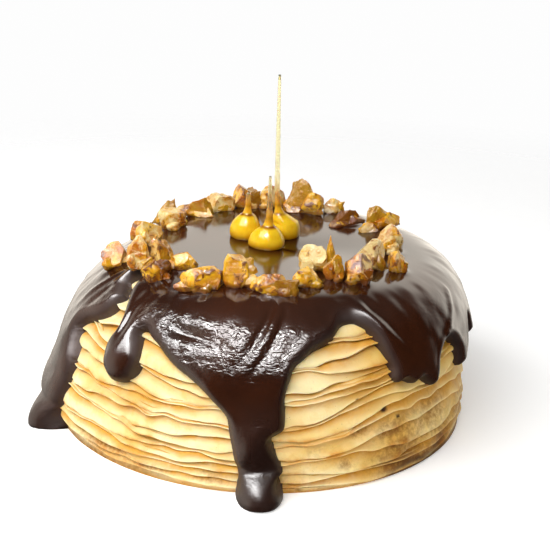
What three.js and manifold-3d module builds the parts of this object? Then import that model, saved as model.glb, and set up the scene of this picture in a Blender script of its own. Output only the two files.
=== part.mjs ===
// A crepe cake: sixteen crepes stacked with their edges hanging down the side, a poured
// chocolate glaze that runs down in drips, a ring of broken nut brittle on top and three
// hazelnuts dipped in caramel, whose caramel was drawn out into spikes.
//
// Millimetres, +Z up. The origin is the middle of the underside. An azimuth is in degrees
// round +Z from the front of the cake (-Y), positive towards its right-hand side (+X).
import * as THREE from 'three';
import { ConvexGeometry } from 'three/addons/geometries/ConvexGeometry.js';
import { ParametricGeometry } from 'three/addons/geometries/ParametricGeometry.js';
import { mergeVertices } from 'three/addons/utils/BufferGeometryUtils.js';
import Module from 'manifold-3d';

const wasm = await Module();
wasm.setup();
const { degToRad, lerp, smoothstep, clamp } = THREE.MathUtils;

// ---- Driving dimensions ----------------------------------------------------------------

// The stack leans a little, so its sizes differ between the left, the right and the front;
// the back is like the front.
const STACK_HEIGHT = 84;
const FOOT_RADIUS = { left: 103.5, right: 104, front: 104 };
const FLAT_TOP_RADIUS = { left: 40, right: 66, front: 58 };
const SHOULDER_FOOT = { left: 30, right: 38, front: 38 };
const SHOULDER_POWER = { left: 2.0, right: 2.5, front: 2.25 };
const WAIST_BULGE = 1.5;     // the side swells by this much below the shoulder
const BULGE_HALF_TURNS = 0.85;
// The lower crepes flare out on the left.
const FLARE = { at: -85, half: 35, height: 15, tall: 18, reach: 7 };

const CREPES = 16;
const CREPE_COLUMNS = 60;
const CREPE_EDGE = 1.5;      // thickness of a crepe's hanging edge
const CREPE_GAP = 0.4;       // clearance between one crepe and the next
const CREPE_SET_BACK = 1.7;  // the edges stay this far inside the stack's outer form
const CREPE_UNEVEN = 1.3;    // and some of them this much further
const BOTTOM_INSET = 3;      // the flat underside of the bottom crepe ends this far in

const LOWEST_RIM = 2.2;
const RIM_PITCH = 4.9;
const RIM_CROWDING = 4.5;    // the middle rims hang lower than an even pitch would put them
const RIM_WAVE = 1.6;
const FIRST_RIM_LEAST = 1.2;
const LEAST_RIM_STEP = 1.4;
const HIGHEST_RIM = 79;

// Places where the hanging edges of neighbouring crepes climb together, from one azimuth to
// another, and then fall back.
const FOLDS = [
  { crepe: 9, reach: 4.5, lift: 11, climb: [6, 38], fall: [62, 105] },
  { crepe: 6, reach: 2.6, lift: 8, climb: [15, 42], fall: [55, 90] },
  { crepe: 12, reach: 4, lift: -5, climb: [-40, -22], fall: [-12, 8] },
  { crepe: 7, reach: 3, lift: 5, climb: [120, 140], fall: [160, 175] },
  { crepe: 11, reach: 4, lift: -6, climb: [-150, -135], fall: [-120, -100] },
];
const PAIRING = { at: -50, width: 24, shift: 2.8 };  // here every other edge meets the next

const GLAZE_THICKNESS = 3;
const GLAZE_GAP = 0.3;       // the glaze starts this far outside the stack's outer form
const LIP_WIDTH = 4;         // the glaze rounds off over this width at its edge
const LIP_HEIGHT = 0.7;
const WIDEST_COLUMN = 6;     // degrees
const EDGE_ROWS = [0, 1, 3, 6.5];
const OUTER_ROWS = 7;
const INNER_ROWS = 6;
const ROW_CROWDING = { outer: 1.4, inner: 1.2 };  // the rows lie closer together near the edge

// The glaze's lower edge across the front, from left to right: azimuth, height. A height of
// zero is where a drip stands on the table.
const FRONT_EDGE = [
  [-85, 46], [-82.5, 22], [-81, 0], [-77.5, 0], [-73, 0], [-69, 0], [-66.6, 0], [-66.2, 12],
  [-64.8, 29], [-63, 40], [-60.5, 50], [-59, 62], [-57.5, 74], [-56, 76.5], [-52, 71.5],
  [-49.5, 64], [-48.7, 54], [-47, 46], [-43, 41.5], [-39.5, 45], [-37, 50], [-35.8, 58],
  [-35, 66], [-31, 63.5], [-26, 59], [-20, 54.5], [-15, 49], [-11, 43], [-9, 38], [-8, 28],
  [-7, 18], [-6.2, 0], [-3.8, 0], [-1, 0], [2, 0], [4.6, 0], [4.7, 16], [4.9, 27], [5.9, 34],
  [6.4, 49], [8, 60], [11, 65.5], [16, 70.5], [21, 73.5], [26, 77.2], [30, 75.5], [32.5, 70],
  [34.3, 60], [36, 49.5], [41, 47.5], [46, 46.5], [51, 41], [53.5, 48], [56.5, 57], [60, 59.4],
  [63, 53], [65, 42.5], [67.5, 39.5], [70, 46],
];
// Its drips down the side and back, from right to left: azimuth and height of the tip, and
// height of the arch beyond it.
const BACK_DRIPS = [
  { at: 83, tip: 46, arch: 66 }, { at: 99, tip: 57, arch: 70 }, { at: 117, tip: 30, arch: 68 },
  { at: 136, tip: 49, arch: 72 }, { at: 155, tip: 22, arch: 67 }, { at: 174, tip: 52, arch: 73 },
  { at: 193, tip: 36, arch: 68 }, { at: 213, tip: 20, arch: 70 }, { at: 233, tip: 48, arch: 66 },
  { at: 252, tip: 38, arch: 58 },
];
const FIRST_ARCH = 62;       // height of the arch between the front's edge and the first drip
const DRIP_HALF = 5.4;       // degrees
const DRIP_SWELL = 1.2;
const DRIP_HEAD = { above: 8, half: 7, tall: 9 };  // the swelling sits above the tip

// Thick places of the glaze: where, how far they reach and how much they add.
const BEADS = [
  { at: -43, height: 52, half: 9, tall: 12, swell: 4 },
  { at: -1, height: 27, half: 9, tall: 14, swell: 3 },
  { at: -72, height: 40, half: 10, tall: 18, swell: 1.5 },
  { at: 45, height: 54, half: 14, tall: 12, swell: 1.5 },
];
const SIDE_THINNING = { at: 85, half: 32, by: 1 };  // the glaze is thinner on the right
// Drips that stand on the table, where they spread into a round foot.
const FEET = [
  { at: 0, half: 12.5, tall: 17, reach: 12 },
  { at: -73.5, half: 14, tall: 15, reach: 8 },
];

// The ring of brittle: kind, azimuth, distance from the middle, then width, depth, height.
// A piece is turned about its own upright axis and leans by the last number.
const BRITTLE = [
  ['nut', -82.5, 76, 15.5, 13, 11.5, 20, 8],
  ['nut', -96, 61, 15, 13, 12.5, 80, 0],
  ['nut', -67, 67.5, 12.5, 13.5, 17.5, 10, 12],
  ['chunk', -64, 57.5, 10.5, 11, 12, 40, 0],
  ['chunk', -52, 67, 14.5, 12, 10, 15, 0],
  ['nut', -49, 53.5, 16.5, 11, 8.5, -25, 10],
  ['nut', -28.5, 66, 24.5, 13, 10.5, -22, 6],
  ['chunk', -11.5, 60, 16, 13, 15.5, 10, 0],
  ['chunk', -107, 67, 12.5, 11, 9.5, 30, 0],
  ['nut', -119, 57, 15, 13, 10, 60, 10],
  ['shard', -129, 66, 15, 6.5, 13.5, 35, 14],
  ['shard', -143, 62, 18.5, 8, 10.5, -20, 20],
  ['nut', -155.5, 65.5, 17, 12, 11, 10, 6],
  ['chunk', -169.5, 68, 14, 12, 13, -15, 0],
  ['nut', 178.5, 66.5, 13.5, 12, 12.5, 5, 0],
  ['shard', 162, 60, 20, 10, 18.5, -14, -8],
  ['chunk', 148.5, 69, 10.5, 9, 8, 25, 0],
  ['shard', 133.5, 58.5, 19.5, 7, 7, 38, 4],
  ['shard', 120.5, 67, 19, 9, 12, 30, -12],
  ['nut', 87, 62, 16, 13, 12.5, 70, 10],
  ['chunk', 65, 71, 9.5, 9.5, 9, 15, 0],
  ['nut', 58.5, 58.5, 17, 14, 14.5, 40, 8],
  ['nut', 42.5, 65.5, 13.5, 13, 13.5, 0, 0],
  ['chunk', 35.5, 58, 11, 11, 13, -20, 0],
  ['nut', 31, 44.5, 13.5, 11, 14.5, 30, 14],
  ['shard', 42, 46, 5.5, 5, 17, 20, -8],
  ['chunk', 19.5, 60.5, 13.5, 10, 8, 12, 0],
  ['chunk', 3.5, 66, 20.5, 11, 8, -6, 0],
];
const BRITTLE_GAP = 0.4;
const BRITTLE_SINK = 1.2;    // the pieces sit this deep in the glaze
const SEAT_GAP = 0.35;

// Three caramel hazelnuts: place, radius and height of the nut, height of the spike's tip
// above the glaze, its lean and the radius where the caramel necks in.
const HAZELNUTS = [
  { side: 'left', x: -11.3, y: 14.2, radius: 8.4, tall: 12.4, tip: 24, lean: [1.2, 0.4], neck: 1.6 },
  { side: 'front', x: 0, y: -0.4, radius: 9.4, tall: 11, tip: 36.5, lean: [1, -0.6], neck: 1.9 },
  { side: 'back', x: 9, y: 16, radius: 8, tall: 13, tip: 82.5, lean: [-4.6, -0.8], neck: 1.7 },
];
// The side of a dipped nut, from its flat foot to where the caramel necks in: distance from
// the axis as a share of its radius, then height as a share of its own height.
const NUT_SIDE = [
  [0.88, 0], [0.97, 0.08], [1, 0.2], [0.95, 0.4], [0.83, 0.59], [0.66, 0.74], [0.46, 0.89],
];
const SPIKE_TIP_RADIUS = 0.75;
const LEAN_LENGTH = 4.5;     // the nut leans over about this length, the spike stands straight
const HAZELNUT_SIDES = 14;

// ---- Finishes ----------------------------------------------------------------------------

const FINISHES = {
  crepe: new THREE.MeshStandardMaterial({ color: 0xf3d79a, roughness: 0.8 }),
  chocolate_glaze: new THREE.MeshStandardMaterial({ color: 0x2b1610, roughness: 0.2 }),
  nut: new THREE.MeshStandardMaterial({ color: 0xe9c27c, roughness: 0.5 }),
  brittle: new THREE.MeshStandardMaterial({ color: 0xb8741f, roughness: 0.3 }),
  caramel: new THREE.MeshStandardMaterial({ color: 0xd98a1a, roughness: 0.15 }),
};

// ---- Helpers -----------------------------------------------------------------------------

// A repeatable number from 0 to 1 for each pair of numbers.
function seeded(a, b) {
  const x = Math.sin(a * 127.1 + b * 311.7) * 43758.5453;
  return x - Math.floor(x);
}

// A smooth wave round the cake, roughly from -1 to 1, made of `first` to `last` periods.
const RIPPLE_PEAK = 1.6;     // a sum of such waves peaks at about this many times its mean
function ripple(azimuth, seed, first, last) {
  let sum = 0;
  let power = 0;
  for (let periods = first; periods <= last; periods++) {
    const phase = 2 * Math.PI * seeded(seed, periods);
    sum += Math.sin(periods * degToRad(azimuth) + phase) / Math.sqrt(periods);
    power += 0.5 / periods;
  }
  return sum / Math.sqrt(power) / RIPPLE_PEAK;
}

function bump(x, middle, half) {
  return Math.exp(-(((x - middle) / half) ** 2));
}

// The difference between two azimuths, from -180 to 180.
function turnBetween(a, b) {
  return ((((a - b + 180) % 360) + 360) % 360) - 180;
}

function place(azimuth, radius, height) {
  const a = degToRad(azimuth);
  return new THREE.Vector3(radius * Math.sin(a), -radius * Math.cos(a), height);
}

// A grid of stations wrapped round the cake and merged into one closed surface. The first
// and the last station of every column lie on the axis.
function wrap(columns) {
  const last = columns.length;
  const stations = columns[0].length - 1;
  const surface = new ParametricGeometry((u, v, target) => {
    target.copy(columns[Math.round((1 - u) * last) % last][Math.round(v * stations)]);
  }, last, stations);
  return merged(surface);
}

function merged(geometry) {
  geometry.deleteAttribute('normal');
  geometry.deleteAttribute('uv');
  const joined = mergeVertices(geometry, 1e-4);
  const corners = joined.index.array;
  const kept = [];
  for (let i = 0; i < corners.length; i += 3) {
    const [a, b, c] = [corners[i], corners[i + 1], corners[i + 2]];
    if (a !== b && b !== c && c !== a) kept.push(a, b, c);
  }
  joined.setIndex(kept);
  return joined;
}

function toSolid(geometry) {
  const shape = merged(geometry.clone());
  return new wasm.Manifold(new wasm.Mesh({
    numProp: 3,
    vertProperties: new Float32Array(shape.attributes.position.array),
    triVerts: new Uint32Array(shape.index.array),
  }));
}

function toGeometry(solid) {
  const mesh = solid.getMesh();
  const geometry = new THREE.BufferGeometry();
  geometry.setAttribute('position', new THREE.BufferAttribute(mesh.vertProperties, 3));
  geometry.setIndex(new THREE.BufferAttribute(mesh.triVerts, 1));
  return geometry;
}

const cake = new THREE.Group();

function addMesh(name, geometry, finish) {
  const mesh = new THREE.Mesh(geometry, FINISHES[finish]);
  mesh.name = name;
  cake.add(mesh);
  return mesh;
}

// ---- The stack's outer form ----------------------------------------------------------------

function sideSize(size, azimuth) {
  const s = Math.sin(degToRad(azimuth));
  const side = s > 0 ? size.right : size.left;
  return lerp(size.front, side, Math.abs(s));
}

// Half a section through the stack's outer form: from the middle of the top, over the round
// shoulder and down to the table. `way` runs from 0 to 1 over the flat top, to 2 over the
// shoulder and to 3 down the side.
function outerForm(azimuth, way) {
  const foot = sideSize(FOOT_RADIUS, azimuth);
  const flat = sideSize(FLAT_TOP_RADIUS, azimuth);
  const waist = sideSize(SHOULDER_FOOT, azimuth);
  const power = 2 / sideSize(SHOULDER_POWER, azimuth);
  if (way <= 1) return new THREE.Vector2(flat * way, STACK_HEIGHT);
  const aside = FLARE.reach * bump(turnBetween(azimuth, FLARE.at), 0, FLARE.half);
  if (way <= 2) {
    const angle = (way - 1) * Math.PI / 2;
    const reach = Math.sin(angle) ** power;
    const height = lerp(waist, STACK_HEIGHT, Math.max(Math.cos(angle), 0) ** power);
    const flare = aside * bump(height, FLARE.height, FLARE.tall);
    return new THREE.Vector2(lerp(flat, foot, reach) + flare, height);
  }
  const drop = Math.min(way, 3) - 2;
  const height = waist * (1 - drop);
  const bulge = WAIST_BULGE * Math.sin(BULGE_HALF_TURNS * Math.PI * drop);
  return new THREE.Vector2(foot + bulge + aside * bump(height, FLARE.height, FLARE.tall), height);
}

// The `way` at which the outer form is at a height.
function wayAt(azimuth, height) {
  const waist = sideSize(SHOULDER_FOOT, azimuth);
  if (height < waist) return 3 - height / waist;
  const rise = clamp((height - waist) / (STACK_HEIGHT - waist), 0, 1);
  return 1 + Math.acos(rise ** (sideSize(SHOULDER_POWER, azimuth) / 2)) / (Math.PI / 2);
}

// A point of the outer form moved out by `offset`, square to it.
function formPoint(azimuth, way, offset) {
  const step = 0.01;
  const here = outerForm(azimuth, way);
  if (way <= 1) return new THREE.Vector2(here.x, here.y + offset);
  const along = outerForm(azimuth, Math.min(way + step, 3));
  along.sub(outerForm(azimuth, way - step)).normalize();
  return new THREE.Vector2(here.x - along.y * offset, here.y + along.x * offset);
}

// ---- The crepes ----------------------------------------------------------------------------

// The heights of all the hanging edges at an azimuth, from the bottom crepe up.
function rimHeights(azimuth) {
  const heights = [];
  for (let crepe = 1; crepe <= CREPES; crepe++) {
    const share = (crepe - 1) / (CREPES - 1);
    let height = LOWEST_RIM + RIM_PITCH * (crepe - 1) - RIM_CROWDING * Math.sin(Math.PI * share);
    for (const fold of FOLDS) {
      const amount = smoothstep(azimuth, ...fold.climb) - smoothstep(azimuth, ...fold.fall);
      height += fold.lift * amount * bump(crepe, fold.crepe, fold.reach / 1.5);
    }
    if (crepe % 2) {
      const paired = bump(azimuth, PAIRING.at, PAIRING.width);
      height -= PAIRING.shift * paired * Math.sin(Math.PI * share);
    }
    const freedom = Math.min(1, 0.3 + 3 * share); // the lowest edges lie flatter
    height += RIM_WAVE * freedom * ripple(azimuth, crepe, 2, 9);
    const least = crepe > 1 ? heights[crepe - 2] + LEAST_RIM_STEP : FIRST_RIM_LEAST;
    heights.push(Math.max(height, least));
  }
  return heights.map((height, i) => Math.min(height, HIGHEST_RIM - (CREPES - 1 - i) * LEAST_RIM_STEP));
}

// How far inside the outer form a crepe's hanging edge lies.
function setBack(crepe, azimuth) {
  return CREPE_SET_BACK + CREPE_UNEVEN * clamp(0.5 + 0.5 * ripple(azimuth, crepe + 40, 3, 12), 0, 1);
}

function middleHeight(crepe) {
  return (STACK_HEIGHT - CREPE_SET_BACK) * crepe / CREPES;
}

// The inner corner of a crepe's hanging edge, where it lies on the crepe below.
function innerCorner(crepe, azimuth, rims) {
  if (crepe === 1) return new THREE.Vector2(outerForm(azimuth, 3).x - BOTTOM_INSET, 0);
  const way = wayAt(azimuth, rims[crepe - 1]);
  return formPoint(azimuth, way, -setBack(crepe, azimuth) - CREPE_EDGE);
}

function crepeColumn(crepe, azimuth) {
  const rims = rimHeights(azimuth);
  const rimWay = wayAt(azimuth, rims[crepe - 1]);
  const section = [new THREE.Vector2(0, middleHeight(crepe))];
  if (crepe === CREPES) {
    for (const share of [0, 0.4, 0.75]) {
      section.push(formPoint(azimuth, lerp(1, rimWay, share), -CREPE_SET_BACK));
    }
  } else {
    const above = innerCorner(crepe + 1, azimuth, rims);
    section.push(new THREE.Vector2(above.x - CREPE_GAP, above.y - CREPE_GAP));
  }
  section.push(formPoint(azimuth, rimWay, -setBack(crepe, azimuth)));
  section.push(innerCorner(crepe, azimuth, rims));
  section.push(new THREE.Vector2(0, crepe === 1 ? 0 : middleHeight(crepe - 1) + CREPE_GAP));
  return section.map((point) => place(azimuth, point.x, point.y));
}

for (let crepe = 1; crepe <= CREPES; crepe++) {
  const columns = [];
  for (let column = 0; column < CREPE_COLUMNS; column++) {
    columns.push(crepeColumn(crepe, -180 + 360 * column / CREPE_COLUMNS));
  }
  addMesh(`crepe_${String(crepe).padStart(2, '0')}`, wrap(columns), 'crepe');
}

// ---- The glaze -----------------------------------------------------------------------------

// The glaze's whole lower edge, from the left foot round the front, the right and the back.
function glazeEdge() {
  const edge = FRONT_EDGE.map(([azimuth, height]) => new THREE.Vector2(azimuth, height));
  let arch = FIRST_ARCH;
  BACK_DRIPS.forEach((drip, i) => {
    const next = i + 1 < BACK_DRIPS.length ? BACK_DRIPS[i + 1].at : FRONT_EDGE[0][0] + 360;
    edge.push(new THREE.Vector2(drip.at - DRIP_HALF, lerp(drip.tip, arch, 0.6)));
    edge.push(new THREE.Vector2(drip.at - DRIP_HALF * 0.7, lerp(drip.tip, arch, 0.12)));
    edge.push(new THREE.Vector2(drip.at, drip.tip));
    edge.push(new THREE.Vector2(drip.at + DRIP_HALF * 0.7, lerp(drip.tip, drip.arch, 0.12)));
    edge.push(new THREE.Vector2(drip.at + DRIP_HALF, lerp(drip.tip, drip.arch, 0.6)));
    edge.push(new THREE.Vector2(lerp(drip.at, next, 0.5), drip.arch));
    arch = drip.arch;
  });
  const full = [];
  edge.forEach((point, i) => {
    const next = i + 1 < edge.length ? edge[i + 1] : edge[0].clone().add(new THREE.Vector2(360, 0));
    const pieces = Math.ceil((next.x - point.x) / WIDEST_COLUMN);
    for (let piece = 0; piece < pieces; piece++) full.push(point.clone().lerp(next, piece / pieces));
  });
  return full;
}

const edge = glazeEdge();
const MM_PER_DEGREE = degToRad(FOOT_RADIUS.front);

// The distance from a place on the unrolled side to the glaze's edge.
function edgeDistance(azimuth, height) {
  const segment = new THREE.Line3();
  const nearest = new THREE.Vector3();
  let least = Infinity;
  edge.forEach((point, i) => {
    const next = edge[(i + 1) % edge.length];
    if (point.y === 0 && next.y === 0) return;
    const from = turnBetween(point.x, azimuth) * MM_PER_DEGREE;
    const to = from + turnBetween(next.x, point.x) * MM_PER_DEGREE;
    segment.set(new THREE.Vector3(from, point.y, 0), new THREE.Vector3(to, next.y, 0));
    const spot = new THREE.Vector3(0, height, 0);
    least = Math.min(least, segment.closestPointToPoint(spot, true, nearest).distanceTo(spot));
  });
  return least;
}

function glazeThickness(azimuth, height) {
  const lip = Math.min(edgeDistance(azimuth, height) / LIP_WIDTH, 1);
  const thinner = bump(turnBetween(azimuth, SIDE_THINNING.at), 0, SIDE_THINNING.half);
  let thickness = GLAZE_THICKNESS - SIDE_THINNING.by * thinner;
  for (const bead of BEADS) {
    const across = turnBetween(azimuth, bead.at) * MM_PER_DEGREE;
    thickness += bead.swell * bump(across, 0, bead.half) * bump(height, bead.height, bead.tall);
  }
  for (const drip of BACK_DRIPS) {
    const across = turnBetween(azimuth, drip.at) * MM_PER_DEGREE;
    const up = bump(height, drip.tip + DRIP_HEAD.above, DRIP_HEAD.tall);
    thickness += DRIP_SWELL * up * bump(across, 0, DRIP_HEAD.half);
  }
  let spread = 0;
  for (const foot of FEET) {
    const across = turnBetween(azimuth, foot.at) * MM_PER_DEGREE / foot.half;
    const up = (height / foot.tall - 0.35) / 0.65;
    spread += foot.reach * Math.sqrt(Math.max(0, 1 - across ** 2) * Math.max(0, 1 - up ** 2));
  }
  return lerp(LIP_HEIGHT, thickness, Math.sqrt(1 - (1 - lip) ** 2)) + spread;
}

// The stack's outer form as a line, to walk up from the glaze's edge by a distance.
function pathUp(azimuth, fromHeight) {
  const start = wayAt(azimuth, fromHeight);
  const steps = 80;
  const ways = [];
  const lengths = [0];
  for (let i = 0; i <= steps; i++) {
    ways.push(lerp(start, 1, i / steps));
    if (i === 0) continue;
    const step = outerForm(azimuth, ways[i]).distanceTo(outerForm(azimuth, ways[i - 1]));
    lengths.push(lengths[i - 1] + step);
  }
  const total = lengths[steps];
  const wayAfter = (length) => {
    let i = 1;
    while (i < steps && lengths[i] < length) i++;
    const share = (length - lengths[i - 1]) / (lengths[i] - lengths[i - 1]);
    return lerp(ways[i - 1], ways[i], clamp(share, 0, 1));
  };
  return { total, wayAfter };
}

function glazeColumn(azimuth, edgeHeight) {
  const { total, wayAfter } = pathUp(azimuth, edgeHeight);
  const lastEdgeRow = EDGE_ROWS[EDGE_ROWS.length - 1];
  const outerLengths = [...EDGE_ROWS];
  for (let row = 1; row <= OUTER_ROWS; row++) {
    outerLengths.push(lerp(lastEdgeRow, total, (row / OUTER_ROWS) ** ROW_CROWDING.outer));
  }
  const outer = outerLengths.map((length) => {
    const way = wayAfter(length);
    const height = outerForm(azimuth, way).y;
    const point = formPoint(azimuth, way, GLAZE_GAP + glazeThickness(azimuth, height));
    return point.setY(Math.max(point.y, 0));
  });
  const inner = [];
  for (let row = 0; row <= INNER_ROWS; row++) {
    const share = (row / INNER_ROWS) ** ROW_CROWDING.inner;
    inner.push(formPoint(azimuth, wayAfter(total * share), GLAZE_GAP));
  }
  if (edgeHeight === 0) {
    outer[0].y = 0;
    inner[0].y = 0;
  }
  const section = [new THREE.Vector2(0, STACK_HEIGHT + GLAZE_GAP + GLAZE_THICKNESS)];
  section.push(...outer.reverse(), ...inner, new THREE.Vector2(0, STACK_HEIGHT + GLAZE_GAP));
  return section.map((point) => place(azimuth, point.x, point.y));
}

const glazeColumns = edge.map((point) => glazeColumn(point.x, point.y));
addMesh('chocolate_glaze', wrap(glazeColumns), 'chocolate_glaze');

// The glaze's outside, filled to the middle of the cake and lifted by the gap that what
// lies on it keeps.
const outside = 1 + EDGE_ROWS.length + OUTER_ROWS;
const filled = glazeColumns.map((column) => [...column.slice(0, outside), new THREE.Vector3()]);
const seat = toSolid(wrap(filled).translate(0, 0, SEAT_GAP));

// The height of the glaze's top at a place.
function topHeight(azimuth, radius) {
  const flat = sideSize(FLAT_TOP_RADIUS, azimuth);
  if (radius <= flat) return STACK_HEIGHT + GLAZE_THICKNESS;
  let way = 1;
  while (way < 2 && formPoint(azimuth, way + 0.005, GLAZE_THICKNESS).x < radius) way += 0.005;
  return formPoint(azimuth, way + 0.005, GLAZE_THICKNESS).y;
}

// ---- The ring of brittle -------------------------------------------------------------------

// Corners of a piece of brittle in a box from -1 to 1, to be wrapped in a convex skin. A nut
// is round and lumpy, a chunk is broken on all sides and a shard is a plate with a peak.
const PIECE_CORNERS = {
  nut(seed) {
    const ball = merged(new THREE.IcosahedronGeometry(1, 1)).attributes.position;
    return Array.from({ length: ball.count }, (_, i) => (
      new THREE.Vector3().fromBufferAttribute(ball, i).multiplyScalar(1 - 0.14 * seeded(seed, i))
    ));
  },
  chunk(seed) {
    return Array.from({ length: 18 }, (_, i) => {
      const [x, y, z] = [0, 50, 90].map((axis) => seeded(seed, i + axis) - 0.5);
      const reach = 0.95 + 0.25 * seeded(seed, i + 130);
      return new THREE.Vector3(x, y, z).setLength(reach).clampScalar(-1, 1);
    });
  },
  shard(seed) {
    const corners = [];
    for (const side of [-1, 1]) {
      const peak = 0.5 * (seeded(seed, 1) - 0.5);
      corners.push(new THREE.Vector3(-1, side, -1), new THREE.Vector3(1, side * 0.8, -0.9));
      corners.push(new THREE.Vector3(-0.85, side * 0.7, lerp(-0.4, 0.2, seeded(seed, 2))));
      corners.push(new THREE.Vector3(0.8, side * 0.6, lerp(-0.5, 0.1, seeded(seed, 3))));
      corners.push(new THREE.Vector3(peak, side * 0.35, 1));
    }
    return corners;
  },
};

const pieces = BRITTLE.map(([kind, azimuth, radius, wide, deep, tall, turn, lean], i) => {
  const base = topHeight(azimuth, radius) - BRITTLE_SINK;
  const full = tall + BRITTLE_SINK;
  const middle = place(azimuth, radius, base + full / 2);
  const pose = new THREE.Matrix4().compose(
    middle,
    new THREE.Quaternion().setFromEuler(new THREE.Euler(0, degToRad(lean), degToRad(turn), 'ZYX')),
    new THREE.Vector3(wide / 2, deep / 2, full / 2),
  );
  const name = `brittle_${kind}_${String(i + 1).padStart(2, '0')}`;
  const corners = PIECE_CORNERS[kind](i + 1).map((corner) => corner.applyMatrix4(pose));
  return { name, kind, middle, corners, size: (wide + deep) / 2 };
});

// Where two pieces would cross, each keeps to its own side of a plane between them.
function keepApart(piece, other) {
  const across = other.middle.clone().sub(piece.middle);
  const apart = across.length();
  across.divideScalar(apart);
  const limit = apart * piece.size / (piece.size + other.size) - BRITTLE_GAP / 2;
  for (const corner of piece.corners) {
    const reach = corner.clone().sub(piece.middle).dot(across);
    if (reach > limit) corner.addScaledVector(across, limit - reach);
  }
}

for (const piece of pieces) {
  for (const other of pieces) {
    if (other !== piece) keepApart(piece, other);
  }
  const solid = toSolid(new ConvexGeometry(piece.corners)).subtract(seat);
  addMesh(piece.name, toGeometry(solid), piece.kind === 'nut' ? 'nut' : 'brittle');
}

// ---- The caramel hazelnuts -----------------------------------------------------------------

// The section of a hazelnut in its caramel: a flat foot, the round nut, the neck and the spike.
function hazelnutSection({ radius, tall, tip, neck }) {
  const points = [new THREE.Vector2(0, 0)];
  for (const [out, up] of NUT_SIDE) points.push(new THREE.Vector2(radius * out, tall * up));
  points.push(new THREE.Vector2(neck * 1.35, tall * 1.04));
  points.push(new THREE.Vector2(neck, tall * 1.3));
  points.push(new THREE.Vector2(neck * 0.8, tall * 1.6));
  points.push(new THREE.Vector2(SPIKE_TIP_RADIUS * 1.35, lerp(tall * 1.6, tip, 0.5)));
  points.push(new THREE.Vector2(SPIKE_TIP_RADIUS, tip - 0.5));
  points.push(new THREE.Vector2(0, tip));
  return points;
}

for (const nut of HAZELNUTS) {
  const lathed = new THREE.LatheGeometry(hazelnutSection(nut), HAZELNUT_SIDES);
  const turned = merged(lathed.rotateX(Math.PI / 2));
  const corners = turned.attributes.position;
  for (let i = 0; i < corners.count; i++) {
    const above = Math.max(0, corners.getZ(i) - nut.tall * 0.6);
    const leant = 1 - Math.exp(-above / LEAN_LENGTH);
    corners.setX(i, corners.getX(i) + nut.x + nut.lean[0] * leant);
    corners.setY(i, corners.getY(i) + nut.y + nut.lean[1] * leant);
  }
  turned.translate(0, 0, STACK_HEIGHT + GLAZE_GAP + GLAZE_THICKNESS + SEAT_GAP);
  addMesh(`caramel_hazelnut_${nut.side}`, turned, 'caramel');
}

export default cake;
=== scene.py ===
"""A crepe cake: sixteen hanging crepes, a poured chocolate glaze with drips, a ring of
broken nut brittle and three hazelnuts dipped in caramel.

Lengths are millimetres until a finished piece is written out in metres. An azimuth is in
degrees round +Z from the front of the cake (-Y), positive towards its right-hand side (+X).
"""

import math

import bmesh
import bpy
import numpy as np
from mathutils import Matrix, Vector, kdtree, noise


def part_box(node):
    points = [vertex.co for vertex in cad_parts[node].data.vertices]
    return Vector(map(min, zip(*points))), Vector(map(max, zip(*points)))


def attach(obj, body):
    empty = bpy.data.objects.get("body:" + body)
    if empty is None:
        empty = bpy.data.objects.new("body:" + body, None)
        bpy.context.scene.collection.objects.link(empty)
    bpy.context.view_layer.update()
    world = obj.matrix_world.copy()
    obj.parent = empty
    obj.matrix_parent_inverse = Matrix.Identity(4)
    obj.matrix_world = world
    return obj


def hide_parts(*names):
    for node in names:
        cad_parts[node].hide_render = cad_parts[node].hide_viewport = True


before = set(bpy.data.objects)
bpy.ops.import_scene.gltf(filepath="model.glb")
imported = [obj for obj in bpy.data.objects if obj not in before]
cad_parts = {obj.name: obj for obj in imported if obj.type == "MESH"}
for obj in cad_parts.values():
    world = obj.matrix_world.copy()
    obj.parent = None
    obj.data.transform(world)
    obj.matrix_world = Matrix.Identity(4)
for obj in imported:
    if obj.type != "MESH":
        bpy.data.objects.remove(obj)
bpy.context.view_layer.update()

MM = 0.001

# ---- The cake's form --------------------------------------------------------------------

STACK_HEIGHT = 84
FOOT_RADIUS = {"left": 103.5, "right": 104, "front": 104}
FLAT_TOP_RADIUS = {"left": 40, "right": 66, "front": 58}
SHOULDER_FOOT = {"left": 30, "right": 38, "front": 38}
SHOULDER_POWER = {"left": 2.0, "right": 2.5, "front": 2.25}
WAIST_BULGE = 1.5        # the side swells by this much below the shoulder
BULGE_HALF_TURNS = 0.85
# The lower crepes flare out on the left.
FLARE = {"at": -85, "half": 35, "height": 15, "tall": 18, "reach": 7}
MM_PER_DEGREE = math.radians(FOOT_RADIUS["front"])
HALF_TURN = 180 * MM_PER_DEGREE  # half the length of the unrolled side

CREPES = 16
CREPE_COLUMNS = 540
CREPE_EDGE = 1.2         # thickness of a hanging edge
CREPE_GAP = 0.35
CREPE_SET_BACK = 1.7     # the edges stay this far inside the stack's outer form
CREPE_CLEAR = 0.3        # and all of them this much further
CREPE_UNEVEN = 1.5       # and some of them this much further again
CREPE_RUFFLE = 0.4
CREPE_CURL = 1.3         # here and there an edge curls out by this much
BOTTOM_INSET = 3         # the flat underside of the bottom crepe ends this far in

LOWEST_RIM = 2.2
RIM_PITCH = 4.9
RIM_CROWDING = 4.5       # the middle edges hang lower than an even pitch would put them
RIM_WAVE = 1.6
RIM_NIBBLE = 0.6         # short waves
RIM_CLOSING = 1.7        # neighbouring edges draw together and apart by this much
FIRST_RIM_LEAST = 1.2
LEAST_RIM_STEP = 1.4
HIGHEST_RIM = 79

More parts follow.
